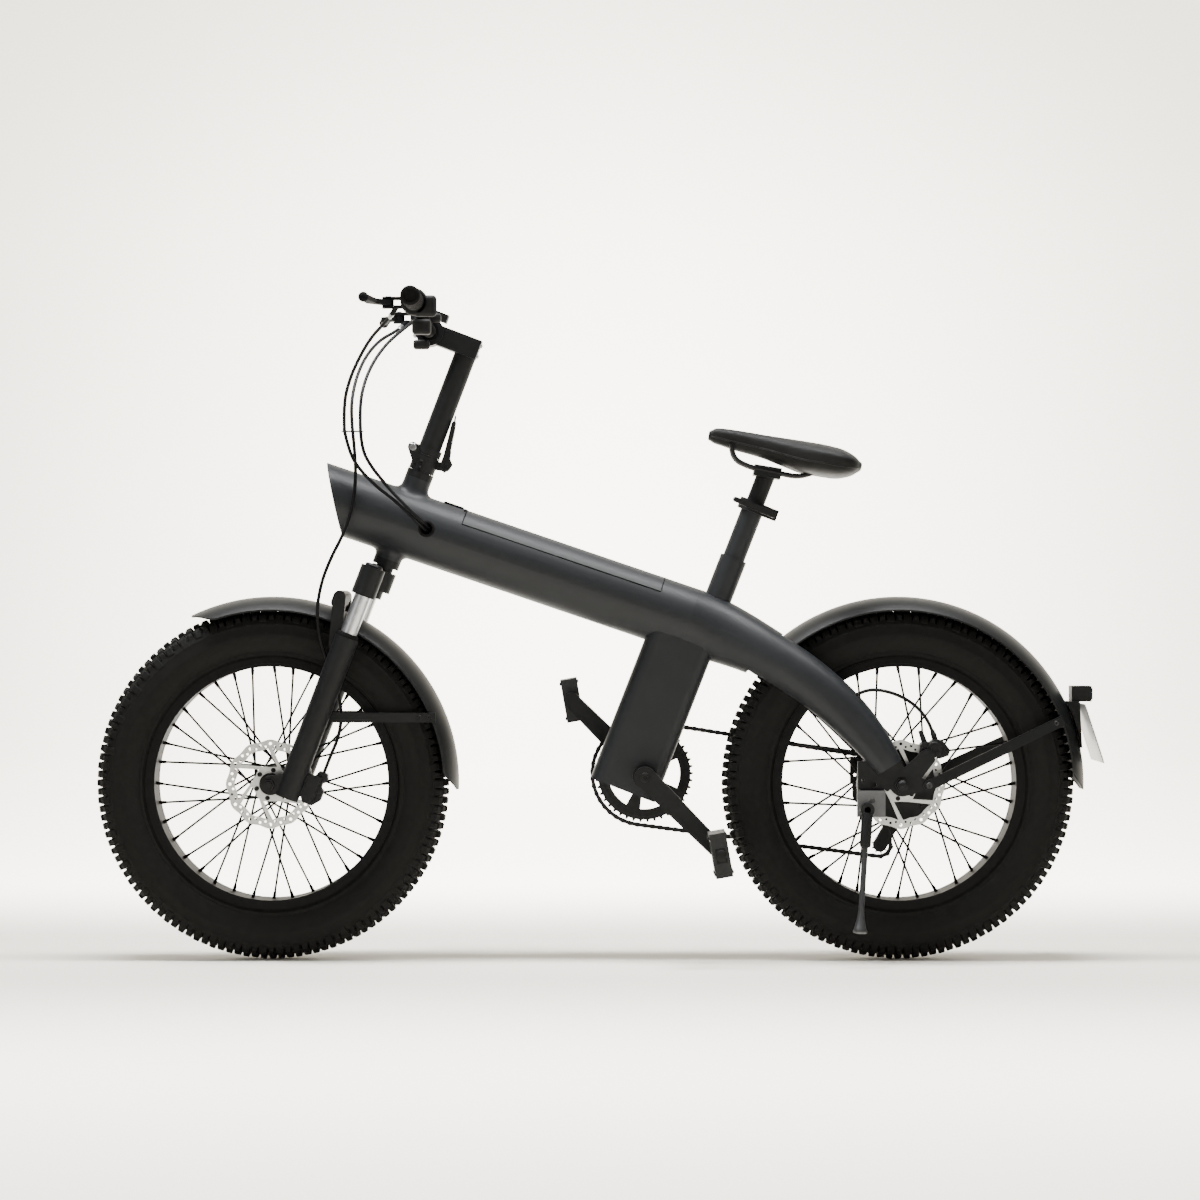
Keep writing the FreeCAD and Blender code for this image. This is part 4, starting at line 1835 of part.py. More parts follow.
def write_parts():
    doc.recompute()
    broken = [obj.Label for obj in doc.Objects if failed(obj)]
    empty = [obj.Label for obj in NODES if obj.Shape.isNull() or obj.Shape.Volume <= 0]
    shaped = [obj for obj in doc.Objects if getattr(obj, "Shape", None) and not obj.Shape.isNull()]
    empty += [obj.Label for obj in shaped if not obj.Shape.isValid()]
    if broken or empty:
        raise RuntimeError(f"failed objects {broken}, bad shapes {empty}")
    os.makedirs("parts", exist_ok=True)
    for obj in NODES:
        obj.Shape.exportStep(f"parts/{obj.Label}.step")
        print(f"{obj.Label}: {len(obj.Shape.Solids)} solids, {obj.Shape.Volume / 1000:.1f} cm3")


def print_places():
    """The joint axes' points, for whoever writes the record."""
    places = {"steering": steer(S.head_bottom), "front_axle": FRONT_AXLE, "rear_axle": REAR_AXLE,
              "crank": CRANK_AXIS, "guide": GUIDE, "tension": TENSION, "fold": FOLD_PIVOT,
              "latch": LATCH_PIVOT,
              "lid": LID_PIVOT, "stand": STAND_PIVOT, "collar": COLLAR_BOLT, "left_lever": lever_pivot(-1),
              "right_lever": lever_pivot(1), "seat": seat(S.seat_post_bottom), "grip": GRIP_CENTRE}
    for name, point in places.items():
        print(f"place {name}: {point.x:.3f} {point.y:.3f} {point.z:.3f}")


make_main_frame()
make_battery_bay()
make_bearings()
make_rear_end()
make_wheels()
make_drive()
make_derailleur()
make_fork()
make_calipers()
make_fenders()
make_licence_plate()
make_kickstand()
make_fold()
make_handlebar()
make_controls()
make_seat()
make_cables()
write_parts()
print_places()
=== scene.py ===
import math

import bmesh
import bpy
from mathutils import Matrix, Vector


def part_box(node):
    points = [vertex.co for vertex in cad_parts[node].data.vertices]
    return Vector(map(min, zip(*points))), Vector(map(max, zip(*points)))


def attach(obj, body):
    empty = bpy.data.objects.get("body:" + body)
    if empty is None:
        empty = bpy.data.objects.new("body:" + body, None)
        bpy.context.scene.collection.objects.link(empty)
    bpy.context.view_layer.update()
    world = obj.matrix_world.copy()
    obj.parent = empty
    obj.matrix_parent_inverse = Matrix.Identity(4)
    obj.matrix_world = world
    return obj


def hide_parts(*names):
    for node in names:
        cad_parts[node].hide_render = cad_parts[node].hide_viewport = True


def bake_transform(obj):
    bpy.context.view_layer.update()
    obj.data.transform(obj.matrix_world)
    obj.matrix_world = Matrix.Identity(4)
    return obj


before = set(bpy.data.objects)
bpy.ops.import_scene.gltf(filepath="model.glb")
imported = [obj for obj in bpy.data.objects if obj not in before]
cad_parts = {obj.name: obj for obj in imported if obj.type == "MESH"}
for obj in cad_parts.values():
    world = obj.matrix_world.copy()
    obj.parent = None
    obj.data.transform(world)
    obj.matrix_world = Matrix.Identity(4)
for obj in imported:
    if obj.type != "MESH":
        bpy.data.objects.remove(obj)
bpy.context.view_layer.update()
mm = 0.001


def at(x, y, z):  # millimetres of the bike's own frame to metres
    return Vector((x, y, z)) * mm


across = Vector((0, 1, 0))
left = -across
up = Vector((0, 0, 1))
frontAxle = at(-527, 0, 286)
rearAxle = at(487, 0, 286)
crankAxis = at(76, 0, 298)
headLean = math.radians(20.8)
steerUp = Vector((math.sin(headLean), 0, math.cos(headLean)))
steerBack = Vector((math.cos(headLean), 0, -math.sin(headLean)))
forkOffset = 45
steerFoot = frontAxle + steerBack * forkOffset * mm
beamDrop = math.radians(18.8)
beamWay = Vector((math.cos(beamDrop), 0, -math.sin(beamDrop)))
beamUp = Vector((math.sin(beamDrop), 0, math.cos(beamDrop)))
beamRadius = 53
beamRise = 469  # where the main tube meets the steering axis


def steer(rise, back=0, side=0):  # along the steering axis, behind it, to the side
    return steerFoot + steerUp * rise * mm + steerBack * back * mm + across * side * mm


def beamAt(along, over=0, side=0):  # along the main tube from the steering axis
    return steer(beamRise) + beamWay * along * mm + beamUp * over * mm + across * side * mm


def turnsOf(count):  # the angles of even steps round a circle
    return [2 * math.pi * i / count for i in range(count)]


def around(centre, angle, radius, y=0):  # on a circle in the side view, y to the drive side, sizes in mm
    return centre + Vector((math.cos(angle) * radius, y, math.sin(angle) * radius)) * mm


# Camera: level, from the left, at the photograph's distance
photoCamera = {"distance": 6300, "centreX": 3.7, "centreZ": 582.4, "widthSeen": 1950, "sensor": 36,
               "farthest": 60000}


def makeCamera():
    c = photoCamera
    data = bpy.data.cameras.new("photoCamera")
    data.sensor_width = c["sensor"]
    data.lens = c["sensor"] * c["distance"] / c["widthSeen"]
    data.clip_end = c["farthest"] * mm
    camera = bpy.data.objects.new("photoCamera", data)
    camera.location = at(c["centreX"], -c["distance"], c["centreZ"])
    camera.rotation_euler = (math.pi / 2, 0, 0)
    bpy.context.scene.collection.objects.link(camera)
    bpy.context.scene.camera = camera
    print("camera placed")


makeCamera()


# Mesh tools: a shape is a list of points and a list of faces, and a piece has one shape or a list of them

def joined(shapes):
    verts, faces = [], []
    for shapeVerts, shapeFaces in shapes:
        start = len(verts)
        verts += shapeVerts
        faces += [tuple(i + start for i in face) for face in shapeFaces]
    return verts, faces


def sideOf(way):  # two directions square to way
    helper = up if abs(way.z) < 0.9 else Vector((1, 0, 0))
    first = way.cross(helper).normalized()
    return first, way.cross(first).normalized()


def raysRound(way, count):  # even directions square to way
    first, second = sideOf(way)
    return [first * math.cos(a) + second * math.sin(a) for a in turnsOf(count)]


def wrapped(rings, count, closed=False):  # faces between rings of count points each
    faces = []
    for row in range(rings if closed else rings - 1):
        low, high = row * count, (row + 1) % rings * count
        for k in range(count):
            after = (k + 1) % count
            faces.append((low + k, low + after, high + after, high + k))
    return faces


def capped(rings, count):  # faces that close the first and the last ring
    return [tuple(reversed(range(count))), tuple(range((rings - 1) * count, rings * count))]


def lathe(profile, centre, way, steps=32, ring=False):  # profile in mm: (radius, along)
    rays = raysRound(way, steps)
    verts = [centre + way * along * mm + ray * radius * mm for radius, along in profile for ray in rays]
    faces = wrapped(len(profile), steps, ring)
    return verts, faces if ring else faces + capped(len(profile), steps)


def tube(points, radius, sides=12, closed=False):  # a round bar along points, radius in mm
    verts = []
    count = len(points)
    normal = None
    for i, point in enumerate(points):
        before = points[i - 1] if i or closed else point
        after = points[(i + 1) % count] if i + 1 < count or closed else point
        way = (after - before).normalized()
        normal = sideOf(way)[0] if normal is None else (normal - way * normal.dot(way)).normalized()
        other = way.cross(normal)
        for a in turnsOf(sides):
            verts.append(point + (normal * math.cos(a) + other * math.sin(a)) * radius * mm)
    faces = wrapped(count, sides, closed)
    return verts, faces if closed else faces + capped(count, sides)


def roundedBox(size, centre, turn=None, corner=2, segments=3):  # sizes in mm, turn a 3x3 matrix
    mesh = bmesh.new()
    bmesh.ops.create_cube(mesh, size=1)
    bmesh.ops.scale(mesh, vec=Vector(size) * mm, verts=mesh.verts)
    bmesh.ops.bevel(mesh, geom=mesh.edges[:], offset=corner * mm, segments=segments, affect="EDGES",
                    profile=0.5)
    turn = turn or Matrix.Identity(3)
    mesh.verts.index_update()
    verts = [centre + turn @ v.co for v in mesh.verts]
    faces = [tuple(v.index for v in face.verts) for face in mesh.faces]
    mesh.free()
    return verts, faces


def boltHead(centre, way, radius, height, socket=True):  # a round head with a hexagon socket, sizes in mm
    steps = 24
    sixth = math.pi / 6
    rings = [(1, 0, False), (1, 0.75, False), (0.88, 1, False)]  # radius share, height share, six-sided
    if socket:
        rings += [(0.56, 1, True), (0.52, 0.35, True)]
    verts = []
    for share, rise, sixSided in rings:
        for a, ray in zip(turnsOf(steps), raysRound(way, steps)):
            reach = radius * share
            if sixSided:
                reach *= math.cos(sixth) / math.cos((a + sixth) % (2 * sixth) - sixth)
            verts.append(centre + way * height * rise * mm + ray * reach * mm)
    return verts, wrapped(len(rings), steps) + capped(len(rings), steps)


def cutSheet(outlines, thickness, edgeRound=0.15):  # a flat sheet in mm, with holes where outlines nest
    curve = bpy.data.curves.new("cutSheet", "CURVE")
    curve.dimensions = "2D"
    curve.fill_mode = "BOTH"
    curve.extrude = (thickness / 2 - edgeRound) * mm
    curve.bevel_depth = edgeRound * mm
    curve.bevel_resolution = 1
    curve.offset = -edgeRound * mm
    for outline in outlines:
        spline = curve.splines.new("POLY")
        spline.points.add(len(outline) - 1)
        for point, (x, y) in zip(spline.points, outline):
            point.co = (x * mm, y * mm, 0, 1)
        spline.use_cyclic_u = True
    return meshOf(curve)


def meshOf(curve):  # the curve's points and faces, with the curve itself cleared away
    holder = bpy.data.objects.new("holder", curve)
    mesh = bpy.data.meshes.new_from_object(holder)
    verts = [v.co.copy() for v in mesh.vertices]
    faces = [tuple(p.vertices) for p in mesh.polygons]
    bpy.data.objects.remove(holder)
    bpy.data.curves.remove(curve)
    bpy.data.meshes.remove(mesh)
    return verts, faces


def upright(shape, centre):  # lays a flat sheet in the side view, its thickness across the bike
    verts, faces = shape
    return [centre + Vector((v.x, -v.z, v.y)) for v in verts], faces


def polar(radius, angle):
    return radius * math.cos(angle), radius * math.sin(angle)


def circle(x, y, radius, steps=20):
    return [(x + radius * math.cos(a), y + radius * math.sin(a)) for a in turnsOf(steps)]


def newPiece(name, shape, material, body=None, sharp=35):
    verts, faces = joined(shape) if isinstance(shape, list) else shape
    mesh = bpy.data.meshes.new(name)
    mesh.from_pydata([tuple(v) for v in verts], [], faces)
    mesh.validate()
    work = bmesh.new()
    work.from_mesh(mesh)
    bmesh.ops.recalc_face_normals(work, faces=work.faces)
    work.to_mesh(mesh)
    work.free()
    mesh.polygons.foreach_set("use_smooth", [True] * len(mesh.polygons))
    mesh.set_sharp_from_angle(angle=math.radians(sharp))
    piece = bpy.data.objects.new(name, mesh)
    bpy.context.scene.collection.objects.link(piece)
    mesh.materials.append(material)
    if body:
        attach(piece, body)
    return piece


# Materials

def linear(hexText):  # sRGB hex to linear
    channels = [int(hexText[i:i + 2], 16) / 255 for i in (1, 3, 5)]
    return tuple(c / 12.92 if c <= 0.04045 else ((c + 0.055) / 1.055) ** 2.4 for c in channels) + (1,)


def addNode(tree, kind, settings=None, links=None):  # capitals and numbers are sockets, the rest settings
    node = tree.nodes.new(kind)
    for name, value in (settings or {}).items():
        if isinstance(name, int) or name[0].isupper():
            node.inputs[name].default_value = value
        else:
            setattr(node, name, value)
    for name, source in (links or {}).items():
        tree.links.new(source, node.inputs[name])
    return node


def startMaterial(name, colour, **sockets):
    material = bpy.data.materials.new(name)
    material.use_nodes = True
    tree = material.node_tree
    shader = tree.nodes["Principled BSDF"]
    shader.inputs["Base Color"].default_value = linear(colour)
    for socket, value in sockets.items():
        shader.inputs[socket.replace("_", " ").title().replace("Ior", "IOR")].default_value = value
    place = addNode(tree, "ShaderNodeTexCoord").outputs["Object"]
    return material, tree, shader, place


def perMetre(sizeMm):  # a pattern's scale from its real size
    return 1000 / sizeMm


# Tone and roughness follow the drift, and the height gives the grain
def dress(tree, shader, drift, tones, rough, height, relief):
    tone = addNode(tree, "ShaderNodeMix", {"data_type": "RGBA", 6: linear(tones[0]), 7: linear(tones[1])},
                   {"Factor": drift})
    spread = addNode(tree, "ShaderNodeMapRange", {"To Min": rough[0], "To Max": rough[1]}, {"Value": drift})
    bump = addNode(tree, "ShaderNodeBump", {"Strength": relief[0], "Distance": relief[1] * mm},
                   {"Height": height})
    tree.links.new(tone.outputs[2], shader.inputs["Base Color"])
    tree.links.new(spread.outputs["Result"], shader.inputs["Roughness"])
    tree.links.new(bump.outputs["Normal"], shader.inputs["Normal"])


# A cloudy tone under a fine grain: real grains are finer than a millimetre and are drawn coarser to show
def finish(name, tones, cloudMm, rough, grainMm, grainStrength, **sockets):
    material, tree, shader, place = startMaterial(name, tones[0], **sockets)
    cloud = addNode(tree, "ShaderNodeTexNoise", {"Scale": perMetre(cloudMm), "Detail": 4.0},
                    {"Vector": place})
    grain = addNode(tree, "ShaderNodeTexNoise", {"Scale": perMetre(grainMm), "Detail": 2.0},
                    {"Vector": place})
    dress(tree, shader, cloud.outputs["Fac"], tones, rough, grain.outputs["Fac"], (grainStrength, 0.4))
    return material


# Powder coat on aluminium, baked: slate grey with a satin sheen and a faint orange peel
powderCoat = finish("powderCoatedAluminium", ("#16181a", "#1c1e21"), 90, (0.44, 0.52), 3.5, 0.1,
                    specular_ior_level=0.2)
# Satin black enamel, sprayed on cast and drawn alloy: nearly black with a soft wide sheen
blackEnamel = finish("satinBlackEnamel", ("#0d0e0f", "#131415"), 40, (0.46, 0.56), 2.5, 0.15,
                     specular_ior_level=0.15)
# Black anodised aluminium, turned hub shells: tight dark sheen
blackAnodised = finish("blackAnodisedAluminium", ("#0b0b0c", "#101112"), 60, (0.4, 0.5), 1.5, 0.08,
                       specular_ior_level=0.2)
# Matte anodised aluminium, rolled rim section: dark from the side, pale along its inner wall
rimAnodised = finish("matteAnodisedRim", ("#0a0a0b", "#0f0f10"), 60, (0.56, 0.64), 1.5, 0.08,
                     specular_ior_level=0.08)
# Black oxide on drawn steel wire and pressed steel: dark with small bright glints
blackOxide = finish("blackOxideSteel", ("#0b0b0c", "#131314"), 12, (0.4, 0.52), 1.2, 0.15,
                    metallic=0.2, specular_ior_level=0.2)
# Cast aluminium, tumbled: mid grey, slightly mottled
castAlloy = finish("tumbledCastAluminium", ("#48494b", "#58595b"), 8, (0.45, 0.58), 1.2, 0.35, metallic=0.4)
# Injection moulded polypropylene fenders: dark grey, satin gloss, smooth with slight waviness
mouldedFender = finish("mouldedPolypropylene", ("#101112", "#151616"), 120, (0.38, 0.46), 18, 0.06,
                       specular_ior_level=0.16)
# Spark textured ABS: fine matte grain of the mould
sparkAbs = finish("sparkTexturedAbs", ("#0d0d0d", "#131313"), 30, (0.5, 0.62), 0.9, 0.4,
                  specular_ior_level=0.15)
# Moulded grip rubber: dull, with a close grain
gripRubber = finish("mouldedGripRubber", ("#0c0c0c", "#131313"), 14, (0.66, 0.8), 1.1, 0.45,
                    specular_ior_level=0.04)
# Extruded PVC cable jacket: smooth with a narrow highlight
cableJacket = finish("extrudedPvcJacket", ("#080809", "#0d0d0e"), 25, (0.42, 0.52), 2.0, 0.08,
                     specular_ior_level=0.1)
# Glass filled nylon pedals: dark grey with a dull bloom
filledNylon = finish("glassFilledNylon", ("#191a1b", "#222324"), 10, (0.5, 0.64), 1.0, 0.4,
                     specular_ior_level=0.2)
# Bead blasted bar: matte black that stays dark where it is seen along its length
blastedBlack = finish("beadBlastedAnodised", ("#0a0a0b", "#0f0f10"), 30, (0.66, 0.78), 1.0, 0.3,
                      specular_ior_level=0.04)
# Painted spoke wire: flat black, so that it stays dark against a bright room
spokePaint = finish("paintedSpokeWire", ("#080808", "#0c0c0c"), 20, (0.6, 0.7), 1.5, 0.1,
                    specular_ior_level=0.08)
# Phosphated steel kickstand: dark grey with a faint metal glow
phosphatedSteel = finish("phosphatedSteel", ("#242526", "#2f3031"), 14, (0.42, 0.54), 1.4, 0.2, metallic=0.4)
# Zinc plated steel fasteners: bright, slightly clouded
zincSteel = finish("zincPlatedSteel", ("#8f9092", "#b4b5b6"), 5, (0.24, 0.4), 1.0, 0.1, metallic=1.0)
# Baked white enamel on sheet aluminium, left blank: drawn mid grey as painted shade over the white, with
# light road dust
shadedPlateEnamel = finish("bakedPlateEnamelPaintedShade", ("#6d6f70", "#7b7d7e"), 45, (0.32, 0.42), 6, 0.05)
# Hard chrome on ground steel tube: bright and slightly clouded
hardChrome = finish("hardChromeTube", ("#a9aaac", "#c2c3c5"), 9, (0.3, 0.42), 1.4, 0.06, metallic=1.0)
# Brass valve under a nickel flash: warm grey and bright
nickelBrass = finish("nickelBrass", ("#8b8676", "#a19c8a"), 6, (0.26, 0.36), 1.0, 0.1, metallic=1.0)


# Vulcanised rubber: matte black, greyer where dust holds, with the mould's grain drawn coarse to show
def makeTyreRubber():
    material, tree, shader, place = startMaterial("vulcanisedTyreRubber", "#101010", specular_ior_level=0.12)
    dust = addNode(tree, "ShaderNodeTexNoise", {"Scale": perMetre(35), "Detail": 6.0, "Roughness": 0.65},
                   {"Vector": place})
    grain = addNode(tree, "ShaderNodeTexVoronoi", {"Scale": perMetre(1.6)}, {"Vector": place})
    dress(tree, shader, dust.outputs["Fac"], ("#080808", "#131312"), (0.62, 0.82),
          grain.outputs["Distance"], (0.3, 0.3))
    return material


# Ground stainless steel, brake discs: bright, with the fine rings that grinding and the pads leave
def makeGroundSteel(name, centre):
    material, tree, shader, place = startMaterial(name, "#b9bab8", metallic=1.0)
    away = addNode(tree, "ShaderNodeVectorMath", {"operation": "SUBTRACT", 1: centre}, {0: place})
    reach = addNode(tree, "ShaderNodeVectorMath", {"operation": "LENGTH"}, {0: away.outputs["Vector"]})
    rings = addNode(tree, "ShaderNodeTexNoise",
                    {"noise_dimensions": "1D", "Scale": perMetre(0.8), "Detail": 3.0},
                    {"W": reach.outputs["Value"]})
    dress(tree, shader, rings.outputs["Fac"], ("#9c9d9b", "#c9cac8"), (0.3, 0.44),
          rings.outputs["Fac"], (0.12, 0.2))
    return material


# Embossed vinyl over foam: leather-like cells under a soft, uneven sheen
def makeSaddleVinyl():
    material, tree, shader, place = startMaterial("embossedSaddleVinyl", "#101010", specular_ior_level=0.12)
    cells = addNode(tree, "ShaderNodeTexVoronoi", {"feature": "DISTANCE_TO_EDGE", "Scale": perMetre(2.2)},
                    {"Vector": place})
    folds = addNode(tree, "ShaderNodeTexNoise", {"Scale": perMetre(28), "Detail": 3.0}, {"Vector": place})
    height = addNode(tree, "ShaderNodeMapRange", {"From Max": 0.25}, {"Value": cells.outputs["Distance"]})
    dress(tree, shader, folds.outputs["Fac"], ("#0c0c0c", "#151515"), (0.5, 0.62),
          height.outputs["Result"], (0.35, 0.4))
    return material


# Moulded polycarbonate lens: glossy, with prism ribs that break up the light
def makeLens(name, colour, ribMm):
    material, tree, shader, place = startMaterial(name, colour, ior=1.585, roughness=0.08, coat_weight=0.4)
    ribs = addNode(tree, "ShaderNodeTexWave",
                   {"bands_direction": "Z", "Scale": perMetre(ribMm) / 20, "Distortion": 0.0},
                   {"Vector": place})
    bump = addNode(tree, "ShaderNodeBump", {"Strength": 0.4, "Distance": 0.6 * mm},
                   {"Height": ribs.outputs["Fac"]})
    tree.links.new(bump.outputs["Normal"], shader.inputs["Normal"])
    return material


tyreRubber = makeTyreRubber()
saddleVinyl = makeSaddleVinyl()
clearLens = makeLens("clearPolycarbonate", "#c8cccf", 4)
redLens = makeLens("redPolycarbonate", "#5c0608", 3)
smokedLens = makeLens("smokedPolycarbonate", "#1a1d20", 50)

nodeFinishes = [
    (powderCoat, ("main_frame", "battery_lid")),
    (sparkAbs, ("battery_pack", "plate_bracket", "guide_pulley", "tension_pulley", "bar_controls")),
    (smokedLens, ("headlight",)),
    (blackEnamel, ("bearings", "dropout_plates", "seat_clamp", "seat_clamp_lever", "rear_fender_stays",
                   "derailleur", "left_crank", "right_crank", "fork_crown", "fold_base", "fork_lowers",
                   "front_fender_stay", "handlepost", "stem", "seat_post")),
    (blackOxide, ("rear_axle", "chainring", "cassette", "front_axle", "saddle_rails")),
    (shadedPlateEnamel, ("licence_plate",)),
    (castAlloy, ("kickstand_bracket",)),
    (filledNylon, ("left_pedal", "right_pedal")),
    (hardChrome, ("stanchions",)),
    (blastedBlack, ("handlebar", "lever_clamps", "left_brake_lever", "right_brake_lever")),
    (rimAnodised, ("front_rim", "rear_rim")),
    (blackAnodised, ("front_hub", "rear_hub")),
]


def dressNodes():
    count = 0
    for material, names in nodeFinishes:
        for name in names:
            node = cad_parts[name]
            node.data.materials.clear()
            node.data.materials.append(material)
            count += 1
    print("nodes dressed:", count)


dressNodes()


# Cables: the routes of the CAD tubes, as control points of smooth splines
# Drawn a little thicker than the 2.5 mm radius of those tubes, as the photo shows
cable = {"radius": 2.8, "sides": 12, "besideTube": 738, "belowTube": 560}
upperRoutes = [
    [(-326.4, -146.3, 1036.6), (-334.1, -127.7, 1027.8), (-362, -99, 1004), (-386, -80, 965),
     (-402, -68, 928), (-409, -60, 892), (-408, -54, 855)],
    [(-326.4, 146.3, 1036.6), (-334.1, 127.7, 1027.8), (-358, 92, 1012), (-378, 50, 985), (-391, 8, 950),
     (-397, -26, 914), (-398, -43, 884), (-395, -52, 855)],
    [(-304.7, 139, 1043.8), (-304.7, 117, 1043.8), (-326, 86, 1024), (-348, 50, 1000), (-368, 12, 966),
     (-380, -24, 928), (-384, -46, 890), (-382, -56, 855)],
]
lowerRoutes = [
    [(-408, -54, 855), (-401, -54, 822), (-384, -56, 793), (-356, -59, 765), (-330, -64, 745.5),
     (-307.9, -67, 725), (-290.6, -67, 708.3), (-278.8, -55.7, 696.8), (-274, -38, 692)],
    [(-382, -56, 855), (-380, -57, 826), (-366, -58, 799), (-345, -61, 773), (-326, -64.5, 751),
     (-304.9, -67, 730.5), (-287.6, -67, 713.8), (-275.8, -55.7, 702.3), (-271, -38, 697.5)],
]
frontHoseRoute = [(-395, -52, 855), (-391, -47, 815), (-390, -50, 772), (-396, -60, 727), (-409, -66, 688),
                  (-429, -70, 650), (-445, -72, 608), (-452, -71, 562), (-447, -66, 522), (-434, -57, 480),
                  (-420, -53, 440), (-412, -50, 400), (-417, -53, 362), (-430.7, -56, 330.7),
                  (-440.6, -56, 304.5)]
rearHoseRoute = [(405, -92, 426), (428, -92, 439), (458, -91, 438), (490, -88, 427), (517, -84, 407),
                 (534, -80, 382), (541, -76, 360)]


def cableLine(route):  # points read from the route's smooth spline
    curve = bpy.data.curves.new("cable", "CURVE")
    curve.dimensions = "3D"
    spline = curve.splines.new("NURBS")
    spline.points.add(len(route) - 1)
    for point, place in zip(spline.points, route):
        point.co = (*at(*place), 1)
    spline.order_u = 3
    spline.use_endpoint_u = True
    spline.resolution_u = 8
    return meshOf(curve)[0]


def layCable(name, line, bodies, bend=None, stands=None):  # one length, with what it measures
    piece = newPiece(name, tube(line, cable["radius"], cable["sides"]), cableJacket,
                     None if bend else bodies)
    if stands:
        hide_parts(stands)
    if bend:
        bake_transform(piece)


def makeCables():
    stands = ("upper_cables", None, None)
    for name, route, node in zip(("left_brake", "right_brake", "shifter"), upperRoutes, stands):
        layCable(f"{name}_upper_run", cableLine(route), ("fork_upper", "post"), "upper", node)
    for name, route, node in zip(("rear_brake", "shifter"), lowerRoutes, ("lower_cables", None)):
        layCable(f"{name}_lower_run", cableLine(route), ("fork_upper", "frame"), "lower", node)
    # The front hose is laid in three lengths: from the bar to beside the main tube, beside it, and down the
    # fork leg
    line = cableLine(frontHoseRoute)
    beside, below = ([i for i, p in enumerate(line) if p.z < cable[key] * mm][0]
                     for key in ("besideTube", "belowTube"))
    layCable("front_hose_top_run", line[:beside + 1], ("fork_upper", "frame"), "hoseTop")
    layCable("front_hose_run", line[beside:below + 1], ("frame", "fork_upper"), "hose", "front_brake_hose")
    layCable("front_hose_leg_run", line[below:], ("fork_upper", "fork_lower"), "hoseLeg")
    layCable("rear_hose_run", cableLine(rearHoseRoute), "frame", None, "rear_brake_hose")
    print("cables laid")


makeCables()


# Tyres: a carcass with a moulded sidewall and rows of tread blocks
tyre = {"pitches": 62, "blockHeight": 8.5, "steps": 124, "crownCentre": 216, "crownRadius": 70,
        "crownEdge": 46, "draft": 0.9, "treadRadius": 282}
sidewall = [(196, 36.8), (204, 36.8), (207, 38.4), (209, 40.8), (212, 41.2), (214, 40.9), (220, 45.4),
            (229, 48.6), (238, 49.6), (242, 50), (243, 49.7), (250, 48.8), (256, 47.4), (258, 47.4),
            (260, 46.2), (265, 43.6)]
tyreInside = [(196, -31), (206, -31), (238, -43), (262, -35), (268, 0), (262, 35), (238, 43), (206, 31),
              (196, 31)]
roadSides = (40, 34, 26, 17, 9, 0)
blockRows = [  # side of the centre line, half width, half length, offset in pitches, height share
    (9.5, 7.0, 4.6, 0.0, 1.0), (24.5, 5.8, 4.8, 0.5, 0.97), (37.5, 5.0, 5.6, 0.0, 0.95),
    (38.5, 4.0, 3.6, 0.5, 0.8)]
blockFaces = capped(3, 4) + wrapped(3, 4)
lug = {"short": 262, "long": 257, "top": 271, "halfLength": 5.6, "radius": 268,  # the shoulder blocks' feet
       "wall": 49.2, "wallFrom": 246, "wallSlope": 0.25, "shoulderFrom": 256, "shoulderSlope": 0.12}


def crown(y):
    return tyre["crownCentre"] + math.sqrt(tyre["crownRadius"] ** 2 - min(abs(y), tyre["crownEdge"]) ** 2)


def treadBlock(centre, turn, y, halfWidth, halfLength, height):
    verts = []
    draft = tyre["draft"]
    for drop, grow in ((height + 2, draft * 1.6), (1.2, 0.2), (0, -draft)):  # root, edge and top of the block
        for sideways, along in ((-1, -1), (1, -1), (1, 1), (-1, 1)):
            blockY = y + sideways * (halfWidth + grow)
            angle = turn + along * (halfLength + grow) / tyre["treadRadius"]
            verts.append(around(centre, angle, crown(blockY) - drop, blockY))
    return verts, blockFaces


def sideLug(centre, turn, side, longer):  # the shoulder block's foot on the sidewall
    low = lug["long"] if longer else lug["short"]
    verts = []
    for proud, grow in ((-2.5, 0.8), (1.3, 0), (1.9, -0.9)):
        high = lug["top"] + grow
        for radius, along in ((low - grow, -1), (high, -1), (high, 1), (low - grow, 1)):
            wallY = lug["wall"] - (radius - lug["wallFrom"]) * lug["wallSlope"]
            wallY -= max(0, radius - lug["shoulderFrom"]) * lug["shoulderSlope"]
            angle = turn + along * (lug["halfLength"] + grow) / lug["radius"]
            verts.append(around(centre, angle, radius, side * (wallY + proud)))
    return verts, blockFaces


def tyreShape(centre):
    t = tyre
    half = sidewall + [(crown(y) - t["blockHeight"], y) for y in roadSides]
    outer = half + [(radius, -y) for radius, y in reversed(half[:-1])]
    shape = [lathe(outer + tyreInside, centre, across, t["steps"], ring=True)]
    pitchTurn = 2 * math.pi / t["pitches"]
    for pitch in range(t["pitches"]):
        for side in (-1, 1):
            start = pitch + (0.5 if side > 0 else 0)
            for middle, halfWidth, halfLength, offset, share in blockRows:
                turn = pitchTurn * (start + offset)
                height = t["blockHeight"] * share
                shape.append(treadBlock(centre, turn, side * middle, halfWidth, halfLength, height))
            shape.append(sideLug(centre, pitchTurn * start, side, pitch % 2))
    return shape


def makeTyres():
    for name, centre, body in (("front", frontAxle, "front_wheel"), ("rear", rearAxle, "rear_wheel")):
        piece = newPiece(f"{name}_knobbed_tyre", tyreShape(centre), tyreRubber, body, sharp=28)
        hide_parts(f"{name}_tyre")
    print("tyres made")


makeTyres()


